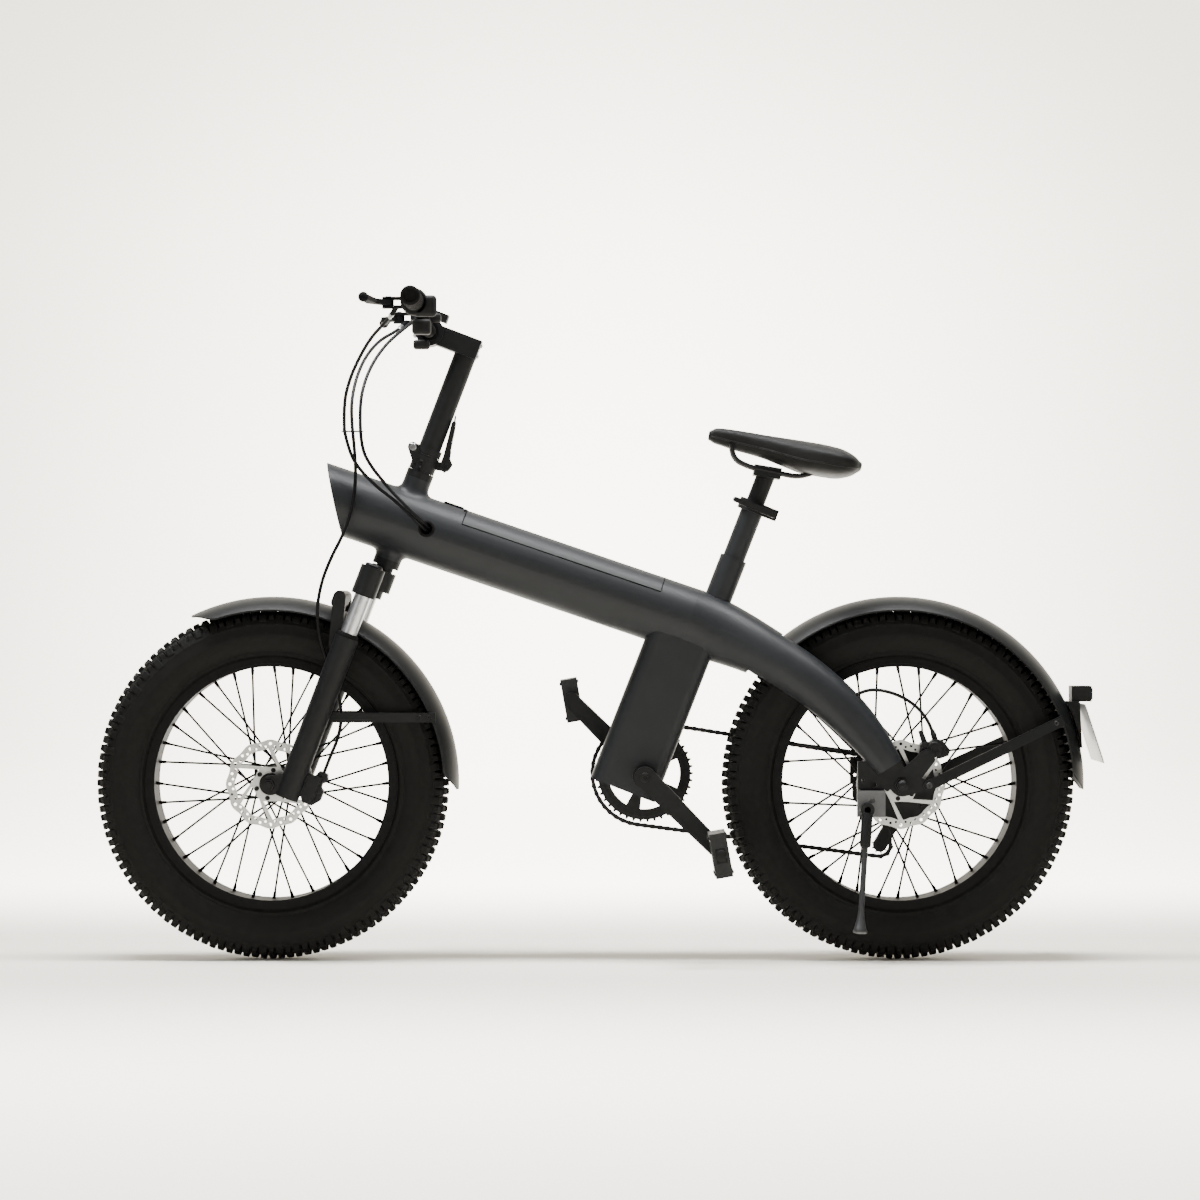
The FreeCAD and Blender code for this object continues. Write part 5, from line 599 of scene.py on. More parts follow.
# Wheels: spokes with their nipples, valves, and brake discs with their bolts
wheels = {
    "front": {"centre": frontAxle, "body": "front_wheel", "flangeRadius": 30, "flangeSide": 36, "cross": 62,
              "rotorSide": 56, "valve": 60},
    "rear": {"centre": rearAxle, "body": "rear_wheel", "flangeRadius": 65, "flangeSide": 32, "cross": 30,
             "rotorSide": 70, "valve": 128},
}
spoke = {"radius": 1.7, "eachSide": 18, "rimRadius": 192, "rimSide": 9, "flangeInset": 3, "stagger": 1.9,
         "nippleInset": 3, "elbowInset": 1.2,
         "nipple": [(2.8, 0.5), (2.8, -5), (2.4, -10), (1.75, -12)],
         "elbow": [(1.5, 0), (1.7, 2.2), (1.2, 4.4)]}  # as heavy as they look in the photo
valve = {"base": 189.5, "stem": [(4.4, 0), (4.2, 3), (3.0, 5), (3.0, 22), (2.7, 22.5)],
         "cap": [(3.9, 19), (3.9, 31), (3.2, 33.5), (1.2, 34.2)]}
disc = {"radius": 71.9, "wave": 1.5, "waves": 12, "band": 14, "hub": 29, "bore": 18, "arm": 3.0, "arms": 6,
        "slant": 30, "thickness": 2, "steps": 144, "bolts": 6, "boltCircle": 23, "boltTurn": 0.3,
        "head": (3.8, 2.6)}
discHoles = [(0, 65.2, 2.5), (0.13, 60.5, 1.9), (-0.13, 60.8, 1.9), (0.26, 64.0, 2.1)]  # turn, radius, size
motorScrews = {"count": 8, "radius": 51, "side": 34, "head": (3, 2)}


def spokeEnds(wheel):
    s = spoke
    for side in (-1, 1):
        for this in range(s["eachSide"]):
            lean = 1 if this % 2 else -1
            rimAngle = 2 * math.pi * (this + (0.5 if side > 0 else 0)) / s["eachSide"]
            hubAngle = rimAngle + lean * math.radians(wheel["cross"])
            hubSide = side * (wheel["flangeSide"] + lean * s["stagger"])
            yield (around(wheel["centre"], hubAngle, wheel["flangeRadius"] - s["flangeInset"], hubSide),
                   around(wheel["centre"], rimAngle, s["rimRadius"], side * s["rimSide"]))


def makeSpokes(name, wheel):
    nipples, wires = [], []
    for start, end in spokeEnds(wheel):
        way = (end - start).normalized()
        wires.append(tube([start, end], spoke["radius"], 8))
        nipples.append(lathe(spoke["nipple"], end - way * spoke["nippleInset"] * mm, way, 10))
        nipples.append(lathe(spoke["elbow"], start - way * spoke["elbowInset"] * mm, way, 8))
    newPiece(f"{name}_spoke_nipples", nipples, spokePaint, wheel["body"])
    spokes = newPiece(f"{name}_spoke_wires", wires, spokePaint, wheel["body"])
    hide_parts(f"{name}_spokes")


def makeValve(name, wheel):
    angle = math.radians(wheel["valve"])
    out = Vector((math.cos(angle), 0, math.sin(angle)))
    base = wheel["centre"] + out * valve["base"] * mm
    newPiece(f"{name}_valve_stem", lathe(valve["stem"], base, -out, 16), nickelBrass, wheel["body"])
    newPiece(f"{name}_valve_cap", lathe(valve["cap"], base, -out, 16), sparkAbs,
             wheel["body"])


def discOutlines():  # wavy edge, bore, windows between slanted arms, and a pattern of holes
    d = disc
    rim = d["radius"] - d["wave"]
    edge = [polar(rim + d["wave"] * math.cos(d["waves"] * a), a) for a in turnsOf(d["steps"])]
    outlines = [edge, circle(0, 0, d["bore"], 40)]
    inner = rim - d["band"]
    slant = math.radians(d["slant"])
    span = 2 * math.pi / d["arms"]
    nearGap = d["arm"] / d["hub"] * 1.4
    farGap = d["arm"] / inner * 1.2
    for arm in range(d["arms"]):
        start = span * arm
        window = []
        for i in range(13):
            a = start + slant + farGap + (span - 2 * farGap) * i / 12
            window.append(polar(inner + d["wave"] * 0.8 * math.cos(d["waves"] * a), a))
        for i in range(9):
            a = start + span - nearGap - (span - 2 * nearGap) * i / 8
            window.append(polar(d["hub"] + 1.5 * math.cos(d["arms"] * (a - start)), a))
        outlines.append(window)
    for wave in range(d["waves"]):
        for turn, radius, size in discHoles:
            outlines.append(circle(*polar(radius, 2 * math.pi * wave / d["waves"] + turn), size, 14))
    return outlines


def makeDisc(name, wheel):
    middle = wheel["centre"] + left * (wheel["rotorSide"] + disc["thickness"] / 2) * mm
    rotor = newPiece(f"{name}_brake_disc", upright(cutSheet(discOutlines(), disc["thickness"]), middle),
                     makeGroundSteel(f"groundStainless_{name}", wheel["centre"]), wheel["body"])
    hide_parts(f"{name}_rotor")
    turns = [2 * math.pi * (k + disc["boltTurn"]) / disc["bolts"] for k in range(disc["bolts"])]
    spots = [around(middle, a, disc["boltCircle"], -disc["thickness"] / 2) for a in turns]
    bolts = [boltHead(spot, left, *disc["head"]) for spot in spots]
    newPiece(f"{name}_disc_bolts", bolts, blackOxide, wheel["body"])


def makeWheelDetails():
    for name, wheel in wheels.items():
        makeSpokes(name, wheel)
        makeValve(name, wheel)
        makeDisc(name, wheel)
    m = motorScrews
    ring = []
    for a in turnsOf(m["count"]):
        for side in (1, -1):
            spot = around(rearAxle, a, m["radius"], side * m["side"])
            ring.append(boltHead(spot, across * side, *m["head"]))
    newPiece("motor_cover_screws", ring, blackOxide, "rear_wheel")
    print("wheel details made")


makeWheelDetails()


# Chain: pins, rollers and link plates along the band of the CAD
chain = {"line": 66, "pitch": 12.7, "plateRadius": 4.1, "waist": 2.9, "clip": 20,
         "innerPlate": (1.2, 2.0), "outerPlate": (2.05, 2.75),
         "guide": (487, 0, 222), "tension": (463, 0, 180),
         "teeth": {"ring": 42, "cog": 16, "pulley": 9}, "roller": [(3.8, -1.15), (3.8, 1.15)],
         "pin": [(1.7, -3), (1.9, -2.8), (1.9, 2.8), (1.7, 3)]}


def pitchRadius(wheel):
    return chain["pitch"] / (2 * math.sin(math.pi / chain["teeth"][wheel]))


def chainLine():
    rounds = [(crankAxis / mm, pitchRadius("ring"), -1), (rearAxle / mm, pitchRadius("cog"), -1),
              (Vector(chain["guide"]), pitchRadius("pulley"), 1),
              (Vector(chain["tension"]), pitchRadius("pulley"), -1)]
    count = len(rounds)
    runs = []
    for this in range(count):
        first, firstRadius, firstWay = rounds[this]
        second, secondRadius, secondWay = rounds[(this + 1) % count]
        span = second - first
        lean = math.asin((secondWay * secondRadius - firstWay * firstRadius) / span.length)
        heading = math.atan2(span.z, span.x) - lean
        aside = Vector((-math.sin(heading), 0, math.cos(heading)))
        runs.append((first - aside * firstWay * firstRadius, second - aside * secondWay * secondRadius))
    line = []
    for this in range(count):
        centre, radius, way = rounds[this]
        arrive, leave = runs[this - 1][1], runs[this][0]
        start = math.atan2(arrive.z - centre.z, arrive.x - centre.x)
        end = math.atan2(leave.z - centre.z, leave.x - centre.x)
        sweep = (end - start) * way % (2 * math.pi)
        steps = max(4, int(sweep * radius / 2))
        for i in range(steps):
            a = start + way * sweep * i / steps
            line.append(centre + Vector((radius * math.cos(a), 0, radius * math.sin(a))))
        line.append(leave)
    return line


def chainPins():
    line = chainLine()
    lengths = [0]
    for a, b in zip(line, line[1:] + line[:1]):
        lengths.append(lengths[-1] + (b - a).length)
    links = 2 * round(lengths[-1] / chain["pitch"] / 2)
    pins = []
    part = 0
    for k in range(links):
        goal = lengths[-1] * k / links
        while lengths[part + 1] < goal:
            part += 1
        a, b = line[part], line[(part + 1) % len(line)]
        pins.append(a.lerp(b, (goal - lengths[part]) / (lengths[part + 1] - lengths[part])))
    return pins


def linkPlate(first, second, low, high):
    way = (second - first).normalized()
    rise = Vector((-way.z, 0, way.x))
    middle = first.lerp(second, 0.5)
    clip = math.radians(chain["clip"])
    outline = []
    for end, start, waist in ((first, math.pi / 2, -1), (second, -math.pi / 2, 1)):
        for k in range(7):
            a = start + clip + (math.pi - 2 * clip) * k / 6
            outline.append(end + (way * math.cos(a) + rise * math.sin(a)) * chain["plateRadius"])
        outline.append(middle + rise * waist * chain["waist"])
    verts = [(p + across * y) * mm for y in (low, high) for p in outline]
    return verts, capped(2, len(outline)) + wrapped(2, len(outline))


def makeChain():
    pins = chainPins()
    plates, rollers = [], []
    for k, pin in enumerate(pins):
        after = pins[(k + 1) % len(pins)]
        near, far = chain["innerPlate" if k % 2 else "outerPlate"]
        for side in (-1, 1):
            low, high = sorted((chain["line"] + side * near, chain["line"] + side * far))
            plates.append(linkPlate(pin, after, low, high))
        place = (pin + across * chain["line"]) * mm
        rollers.append(lathe(chain["roller"], place, across, 12))
        rollers.append(lathe(chain["pin"], place, across, 10))
    piece = newPiece("chain_links", plates + rollers, blackOxide, "frame")
    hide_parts("chain")
    print("chain links:", len(pins))


makeChain()


# Saddle: foam under stretched vinyl on a moulded pan
saddle = {"nose": (180.4, 0, 852), "pitch": 9.3, "length": 251, "halfWidth": 92, "stations": 60, "around": 64,
          "seamShare": 0.42, "topPower": 0.72, "bottomPower": 0.6, "crownPower": 0.8, "ease": 0.02,
          "groove": 3.5, "grooveWidth": 9, "grooveStart": 0.3, "grooveEnd": 0.97, "panFacing": -0.8,
          "piping": 1.3, "pipingTurn": 16, "pipingStart": 0.02, "pipingSpan": 0.955}
saddleStations = [  # share of the length, width share, top, bottom in mm
    (0.0, 0.13, 1.5, -7), (0.012, 0.18, 8, -11), (0.035, 0.215, 11.5, -13.5), (0.1, 0.23, 13, -16),
    (0.18, 0.245, 13.4, -19.5), (0.28, 0.285, 13.4, -22), (0.375, 0.365, 13.4, -25), (0.5, 0.53, 13.4, -32),
    (0.62, 0.75, 13.4, -38.4), (0.74, 0.93, 13.0, -39), (0.86, 1.0, 10.5, -38.5), (0.93, 0.94, 4.5, -33),
    (0.97, 0.82, -1.5, -28), (0.99, 0.68, -5.5, -23), (1.0, 0.5, -9.5, -18)]


def clamped(value):
    return max(0, min(1, value))


def stationAt(share):
    rows = saddleStations
    for low, high in zip(rows, rows[1:]):
        if share <= high[0]:
            t = (share - low[0]) / (high[0] - low[0])
            return [a + (b - a) * t for a, b in zip(low, high)]
    return list(rows[-1])


def saddlePoint(share, turn):
    s = saddle
    eased = [stationAt(clamped(share + d)) for d in (-s["ease"], 0, s["ease"])]
    width, top, bottom = (sum(e[k] for e in eased) / 3 for k in (1, 2, 3))
    if share in (0, 1):
        width, top, bottom = stationAt(share)[1:]
    seam = top + (bottom - top) * s["seamShare"]
    wide, tall = polar(1, turn)
    sidePower = s["topPower"] if tall > 0 else s["bottomPower"]
    y = s["halfWidth"] * width * math.copysign(abs(wide) ** sidePower, wide)
    rise = top - seam if tall > 0 else seam - bottom
    over = seam + rise * math.copysign(abs(tall) ** s["crownPower"], tall)
    if tall > 0:  # a shallow groove along the middle, fading out towards nose and tail
        fade = clamped((share - s["grooveStart"]) / 0.15) * clamped((s["grooveEnd"] - share) / 0.1)
        over -= math.exp(-(y / s["grooveWidth"]) ** 2) * s["groove"] * fade
    pitch = math.radians(s["pitch"])
    back = share * s["length"]
    return at(*s["nose"]) + at(math.cos(pitch) * back + math.sin(pitch) * over, y,
                               -math.sin(pitch) * back + math.cos(pitch) * over)


def makeSaddle():
    s = saddle
    rows, count = s["stations"], s["around"]
    shares = [0.5 - 0.5 * math.cos(math.pi * i / (rows - 1)) for i in range(rows)]
    verts = [saddlePoint(share, a) for share in shares for a in turnsOf(count)]
    shape = (verts, wrapped(rows, count) + capped(rows, count))
    cover = newPiece("saddle_cover", shape, saddleVinyl, "seat", sharp=60)
    cover.data.materials.append(sparkAbs)
    for face in cover.data.polygons:  # the pan shows from below
        if face.normal.z < s["panFacing"]:
            face.material_index = 1
    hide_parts("saddle")
    for name, turn in (("left", 180 + s["pipingTurn"]), ("right", -s["pipingTurn"])):
        shares = [s["pipingStart"] + s["pipingSpan"] * i / 90 for i in range(91)]
        line = [saddlePoint(share, math.radians(turn)) for share in shares]
        newPiece(f"saddle_piping_{name}", tube(line, s["piping"], 8), saddleVinyl, "seat")
    print("saddle covered")


makeSaddle()


# Grips: ribbed rubber sleeves with a closed end
grip = {"centre": (-289.301, 0, 1052.551), "start": 195.9, "end": 322, "radius": 15.5, "bore": 11.4,
        "waist": 1.6, "ribPitch": 4.6, "ribDepth": 0.9, "swell": 0.7}


def makeGrips():
    g = grip
    start, end, radius, pitch = g["start"], g["end"], g["radius"], g["ribPitch"]
    waist = radius - g["waist"]
    profile = [(g["bore"], start), (radius, start + 0.2), (radius, start + 5), (waist, start + 6.5)]
    y = start + 9
    while y < end - 12:
        base = waist + g["swell"] * math.sin(math.pi * (y - start) / (end - start))
        rib = base + g["ribDepth"]
        profile += [(base, y), (rib, y + 0.7), (rib, y + pitch - 1.6), (base, y + pitch - 0.9)]
        y += pitch
    profile += [(radius - 0.6, end - 9), (radius, end - 8), (radius, end - 2.5), (radius - 2, end - 0.4),
                (radius - 5, end), (radius - 6, end - 1.5), (3, end - 2)]
    sleeves = [lathe(profile, at(*g["centre"]), way, 40) for way in (across, left)]
    piece = newPiece("ribbed_grips", sleeves, gripRubber, "post", sharp=50)
    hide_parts("grips")
    print("grips made")


makeGrips()


# Fenders: thin moulded shells whose skirts run out towards the ends that show
fender = {"crown": 302, "edge": 281, "halfWidth": 57.5, "thickness": 2.5, "taper": 6, "tipShare": 0.3,
          "across": 25, "degreesPerStep": 1.5}
fenderSpans = [("front", frontAxle, -2, 116, 8, "fork_lower"), ("rear", rearAxle, -2, 129, 0, "frame")]


def fenderShape(centre, start, end, endTaper):
    f = fender
    fall = f["crown"] - f["edge"]
    bow = (fall ** 2 + f["halfWidth"] ** 2) / (2 * fall)
    steps = int((end - start) / f["degreesPerStep"])
    count = 2 * f["across"]
    verts = []
    for i in range(steps + 1):
        turn = start + (end - start) * i / steps
        ease = max(0, min(1, (turn - start) / f["taper"], (end - turn) / endTaper if endTaper else 1))
        half = f["halfWidth"] * (f["tipShare"] + (1 - f["tipShare"]) * math.sin(ease * math.pi / 2))
        for sink, order in ((0, 1), (f["thickness"], -1)):  # out along the top, back along the underside
            for k in range(f["across"]):
                y = order * half * (2 * k / (f["across"] - 1) - 1)
                radius = f["crown"] - bow + math.sqrt(bow ** 2 - y ** 2) - sink
                verts.append(around(centre, math.radians(turn), radius, y))
    faces = wrapped(steps + 1, count)
    for base in (0, steps * count):
        for k in range(f["across"] - 1):
            faces.append((base + k, base + k + 1, base + count - 2 - k, base + count - 1 - k))
    return verts, faces


def makeFenders():
    for name, centre, start, end, endTaper, body in fenderSpans:
        shape = fenderShape(centre, start, end, endTaper)
        shell = newPiece(f"{name}_fender_shell", shape, mouldedFender, body, sharp=50)
        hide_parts(f"{name}_fender")
    print("fenders made")


makeFenders()


# Kickstand: a forged leg that flares into its foot
stand = {"pivot": (430, -120.5, 248), "foot": (415, -165, 55), "barrel": 11, "barrelHalf": 8, "rod": 4.6,
         "flare": 11.5, "sleeve": 9, "sleeveEnd": 57}


def makeKickstand():
    top, foot = at(*stand["pivot"]), at(*stand["foot"])
    way = (foot - top).normalized()
    reach = (foot - top).length / mm
    rod, flare, sleeve, end = (stand[key] for key in ("rod", "flare", "sleeve", "sleeveEnd"))
    barrel = lathe([(stand["barrel"], side * stand["barrelHalf"]) for side in (-1, 1)], top, across, 28)
    leg = lathe([(rod, end - 2), (rod, reach - 36), (rod + 1, reach - 26), (flare - 2, reach - 8),
                 (flare, reach - 4), (flare, reach - 1), (flare - 2, reach)], top, way, 28)
    upper = lathe([(sleeve, 6), (sleeve, end), (sleeve - 1, end + 3), (rod, end + 4)], top, way, 28)
    newPiece("kickstand_sleeve", [barrel, upper], blackEnamel, "stand")
    piece = newPiece("kickstand_forged_leg", leg, phosphatedSteel, "stand")
    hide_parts("kickstand_leg")
    print("kickstand made")


makeKickstand()


# Frame hardware: welds, button, bolts, caps, grommet and the lid's gasket
headTubeRadius = 22
frameHardware = {
    "welds": ((1, 12), (-1, 10)), "button": (34, 20, 5), "buttonAlong": 71.6,
    "standBolt": (430, -112, 248), "standRivet": (439, -112, 262),
    "stayBolt": (43, 106), "fenderBolt": (738, 62.2, 384), "axleCapSide": 109,
    "grommet": (-276, -52.6, 697), "portAlong": 52, "portSide": 52.2,
    "lidFront": 95, "lidBack": 434, "lidTurn": 57, "gasket": 0.9,
}
axleCap = [(8.5, 0), (8.5, 5), (6, 8), (2, 9.5)]
grommetLip = [(10, -3), (13, -1.5), (13.4, 0.5), (12, 2), (9.6, 2), (8.9, 0.5), (8.9, -3)]
portCap = [(14, 0), (14, 1.6), (12.5, 3), (3, 3.4)]


def filletRing(sign, reach):  # the smooth weld where the head tube leaves the main tube
    foot = beamAt(0)
    slope = steerUp - beamWay * steerUp.dot(beamWay)

    def meet(ray, radius):  # where a line beside the steering axis leaves the main tube
        spot = foot + ray * radius * mm
        gap = (spot - foot) - beamWay * (spot - foot).dot(beamWay)
        half = gap.dot(slope)
        root = math.sqrt(half ** 2 - slope.length_squared * (gap.length_squared - (beamRadius * mm) ** 2))
        return spot + steerUp * ((sign * root - half) / slope.length_squared)

    verts = []
    steps, count = 48, 9
    for ray in raysRound(steerUp, steps):
        corner, outer = meet(ray, headTubeRadius), meet(ray, headTubeRadius + reach)
        high = corner + steerUp * sign * reach * mm
        for k in range(6):
            t = k / 5
            verts.append(high * (1 - t) ** 2 + corner * 2 * t * (1 - t) + outer * t ** 2)
        sink = (ray + steerUp * sign) * 2 * mm
        verts += [outer - sink, corner - sink, high - sink]
    return verts, wrapped(steps, count, True)


def makeFrameHardware():
    h = frameHardware
    welds = [filletRing(sign, reach) for sign, reach in h["welds"]]
    newPiece("head_tube_welds", welds, powderCoat, "frame", sharp=60)
    turn = Matrix((beamWay, across, beamUp)).transposed()
    button = roundedBox(h["button"], beamAt(h["buttonAlong"], beamRadius), turn, 2.4)
    newPiece("power_button", button, gripRubber, "frame")
    newPiece("kickstand_bolt", boltHead(at(*h["standBolt"]), left, 6, 2.5), blackOxide, "frame")
    rivets = [boltHead(at(*h["standRivet"]), left, 4, 1.8, False)]
    back, side = h["stayBolt"]
    x, y, z = h["fenderBolt"]
    for s in (-1, 1):
        rivets.append(boltHead(rearAxle + at(back, s * side, 0), across * s, 5, 3))
        rivets.append(boltHead(at(x, s * y, z), across * s, 4, 2.4))
    newPiece("stay_and_stand_rivets", rivets, phosphatedSteel, "frame")
    caps = [lathe(axleCap, rearAxle + across * h["axleCapSide"] * mm * s, across * s, 24) for s in (-1, 1)]
    newPiece("rear_axle_caps", caps, blackOxide, "frame")
    lip = lathe(grommetLip, at(*h["grommet"]), left, 36, ring=True)
    newPiece("cable_grommet", lip, gripRubber, "frame")
    port = lathe(portCap, beamAt(h["portAlong"], 0, h["portSide"]), across, 32)
    newPiece("charge_port_cap", port, gripRubber, "frame")
    seam = []
    edge = h["lidTurn"]
    ends = ((h["lidFront"], range(-edge, edge + 1, 6)), (h["lidBack"], range(edge, -edge - 1, -6)))
    for along, turns in ends:
        for degrees in turns:
            side, over = polar(beamRadius, math.radians(90 - degrees))
            seam.append(beamAt(along, over, side))
    newPiece("lid_gasket", tube(seam, h["gasket"], 6, True), gripRubber, "frame")
    print("frame hardware made")


# Lamps: a bezel and a domed lens on the nose, and a red lens at the tail
lamps = {"nose": (-109.3, 3.1), "face": (-0.860, -0.511), "tail": (800.5, 0, 430.5), "tailSize": (3, 38, 19),
         "bezel": [(36, -1), (36, 2), (34, 3.6), (31, 2.4), (31, -1)],
         "dome": [(30.8, -0.5), (30.8, 0.8), (26, 2.6), (18, 3.9), (9, 4.6), (2, 4.8)]}


def makeLamps():
    ahead, over = lamps["face"]
    normal = (beamWay * ahead + beamUp * over).normalized()
    middle = beamAt(*lamps["nose"])
    bezel = lathe(lamps["bezel"], middle, normal, 56, ring=True)
    newPiece("headlight_bezel", bezel, hardChrome, "frame")
    newPiece("headlight_lens", lathe(lamps["dome"], middle, normal, 56), clearLens, "frame")
    tail = roundedBox(lamps["tailSize"], at(*lamps["tail"]), None, 1.2)
    newPiece("tail_lamp_lens", tail, redLens, "frame")
    print("lamps made")


# Plate: two bolts and a pressed rim round a blank face
plate = {"bottom": (813, 0, 321), "tilt": 18, "tall": 99, "halfWidth": 80, "rim": 4, "corner": 6,
         "boltUp": 78, "boltSide": 40, "head": (4.5, 2.2), "bead": 1.1, "beadSink": 0.4}


def makePlateTrim():
    p = plate
    tilt = math.radians(p["tilt"])
    rise = Vector((-math.sin(tilt), 0, math.cos(tilt)))
    outward = Vector((math.cos(tilt), 0, math.sin(tilt)))
    bottom = at(*p["bottom"])
    boltRow = bottom + rise * p["boltUp"] * mm
    bolts = [boltHead(boltRow + across * p["boltSide"] * s * mm, outward, *p["head"]) for s in (-1, 1)]
    newPiece("plate_bolts", bolts, zincSteel, "frame")
    border = []
    corner = p["corner"]
    inset = p["rim"] + corner
    for x, y, turn in ((1, 1, 0), (-1, 1, 90), (-1, -1, 180), (1, -1, 270)):
        for k in range(5):
            a = math.radians(turn + 90 * k / 4)
            wide = x * (p["halfWidth"] - inset) + corner * math.cos(a)
            high = p["tall"] / 2 + y * (p["tall"] / 2 - inset) + corner * math.sin(a)
            border.append(bottom + across * wide * mm + rise * high * mm - outward * p["beadSink"] * mm)
    newPiece("plate_pressed_rim", tube(border, p["bead"], 8, True), shadedPlateEnamel, "frame")
    print("plate trimmed")


# Fork hardware: fold pin, bolts, cable tie, top caps and dust seals
forkHardware = {
    "foldPin": (-299.725, 18, 830.8), "tieFrom": -408, "tieTo": -382, "tieSide": -54, "tieHeight": 854,
    "tieReach": (3.9, 6.4), "tie": 1, "legSide": 82, "legBack": -12, "capRise": 385, "sealRise": 265,
    "stayX": (-272, -287, -440), "staySide": 62.3, "stayHeight": 393,
    "baseBolts": [((571, -4, -20.4), 4.2, 1.6), ((561, -3, -20.6), 3, 1.4)],  # place, radius, height
}
forkCap = [(14.5, 0), (14.5, 3), (13, 5), (9, 5.6), (8.5, 4.4), (2, 4.2)]
dustSeal = [(14.2, -2), (18.2, -2), (18.2, 3), (16, 7), (14.2, 7.5)]


def makeForkHardware():
    h = forkHardware
    x, y, z = h["foldPin"]
    pins = [boltHead(at(x, y * s, z), across * s, 6.2, 2.6) for s in (-1, 1)]
    newPiece("fold_pin_heads", pins, zincSteel, "fork_upper")
    base = [boltHead(steer(*place), left, radius, height) for place, radius, height in h["baseBolts"]]
    newPiece("fold_base_bolts", base, blackOxide, "fork_upper")
    tie = []
    wide, deep = h["tieReach"]
    bends = ((h["tieTo"], range(-90, 91, 30)), (h["tieFrom"], range(90, 271, 30)))
    for x, turns in bends:  # round the three cables
        for turn in turns:
            a = math.radians(turn)
            tie.append(at(x + wide * math.cos(a), h["tieSide"] + deep * math.sin(a), h["tieHeight"]))
    newPiece("cable_tie", tube(tie, h["tie"], 8, True), sparkAbs, "fork_upper")
    sides = (-h["legSide"], h["legSide"])
    caps = [lathe(forkCap, steer(h["capRise"], h["legBack"], side), steerUp, 28) for side in sides]
    newPiece("fork_top_caps", caps, blackEnamel, "fork_upper")
    seals = [lathe(dustSeal, steer(h["sealRise"], h["legBack"], side), steerUp, 32, ring=True)
             for side in sides]
    newPiece("fork_dust_seals", seals, gripRubber, "fork_lower")
    stay = [boltHead(at(x, h["staySide"] * s, h["stayHeight"]), across * s, 4.2, 2.2)
            for s in (-1, 1) for x in h["stayX"]]
    newPiece("front_stay_bolts", stay, blackOxide, "fork_lower")
    print("fork hardware made")


# Calipers: two halves and a bridge over the disc, each with its low and high side
# The front outlines lie along the steering axis (behind, along), the rear ones in the side view
caliperOutlines = {
    "front": {"half": [(9, -2), (14, -8), (30, -8), (40, 4), (40, 20), (34, 24), (34, 33), (40, 39), (36, 48),
                       (22, 48), (18, 38), (9, 34)],
              "bridge": [(31, -4), (40, 4), (40, 20), (34, 24), (31, 24)],
              "halves": ((-73, -59.4), (-54.6, -44)), "gap": (-60, -54)},
    "rear": {"half": [(515, 331), (520, 326), (531, 326), (535, 332), (548, 328), (562, 333), (565, 342),
                      (553, 357), (541, 360), (532, 354), (526, 357), (518, 352)],
             "bridge": [(541, 343), (553, 331), (563, 335), (564, 345), (552, 357), (542, 358), (534, 350)],
             "halves": ((-92, -73.4), (-68.6, -54)), "gap": (-74, -68)},
}
caliperArm = {"outline": [(522, 344), (532, 346), (521, 374), (514, 372)], "thickness": 5, "side": -82}
hoseFitting = {"place": (541, -76, 360), "way": (-0.3, -0.17, 0.94),
               "profile": [(4.6, -2), (4.6, 9), (3.6, 10), (3.6, 14)]}
caliperBolts = (-19, 19)
caliperCover = [(12.5, -0.5), (12.5, 2), (11.5, 3), (6.5, 3.2), (6, 2), (2, 1.8)]


def caliperShape(name):
    table = caliperOutlines[name]
    spots = {}
    for part in ("half", "bridge"):
        places = [steer(y, x) if name == "front" else at(x, 0, y) for x, y in table[part]]
        spots[part] = [(p.x / mm, p.z / mm) for p in places]
    sheets = []
    for part, low, high in [("half", *pair) for pair in table["halves"]] + [("bridge", *table["gap"])]:
        sheets.append(upright(cutSheet([spots[part]], high - low, 1.0), across * (low + high) / 2 * mm))
    if name == "rear":
        arm, hose = caliperArm, hoseFitting
        sheets.append(upright(cutSheet([arm["outline"]], arm["thickness"], 0.8), across * arm["side"] * mm))
        sheets.append(lathe(hose["profile"], at(*hose["place"]), Vector(hose["way"]).normalized(), 20))
    return sheets


def makeCalipers():
    for name, body, lean in (("front", "fork_lower", steerUp), ("rear", "frame", Vector((1, 0, 0)))):
        low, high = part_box(f"{name}_caliper")
        shell = newPiece(f"{name}_caliper_body", caliperShape(name), blackEnamel, body)
        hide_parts(f"{name}_caliper")
        face = Vector(((low.x + high.x) / 2, low.y, (low.z + high.z) / 2))
        cover = lathe(caliperCover, face, left, 36)
        newPiece(f"{name}_caliper_cover", cover, blackOxide, body)
        bolts = [boltHead(face + lean * step * mm, left, 3.6, 3) for step in caliperBolts]
        newPiece(f"{name}_caliper_bolts", bolts, blackOxide, body)
    print("calipers dressed")


# Bar hardware: stem bolts, lever pivots, cable barrels, fold latch and switches
barHardware = {"stemRise": 774, "stemAhead": -86, "stemBehind": 18, "faceBolts": (14, 13),
               "clampBolts": (8, 9), "leverPivot": (-331.3, 168, 1061.4)}
cableBarrel = [(3.2, -2), (4.2, -1), (4.2, 5), (3.4, 6), (3.4, 12), (2.7, 13)]
latch = {"cam": [(-255, 804), (-251, 815), (-247, 827), (-238, 824), (-240, 812), (-236, 802), (-241, 794),
                 (-250, 789), (-256, 795)],
         "blade": [(-250, 818), (-243, 845), (-238, 866), (-235, 873), (-230, 871), (-232, 858), (-236, 838),
                   (-240, 817)],
         "pivot": (-246.962, 797.921), "bore": 3.4, "plateSide": 8.8, "plate": 4, "bladeWidth": 21,
         "loop": (-233, 868), "loopReach": (2, 6, 13), "loopWire": 1.2}
switchPods = [  # size, place, corner radius
    ((26, 22, 15), (-284, -50, 994), 4), ((20, 26, 14), (-262, -62, 1036), 4),
    ((30, 30, 24), (-281, -112, 1018), 5), ((36, 14, 34), (-272, -187, 1046), 6)]
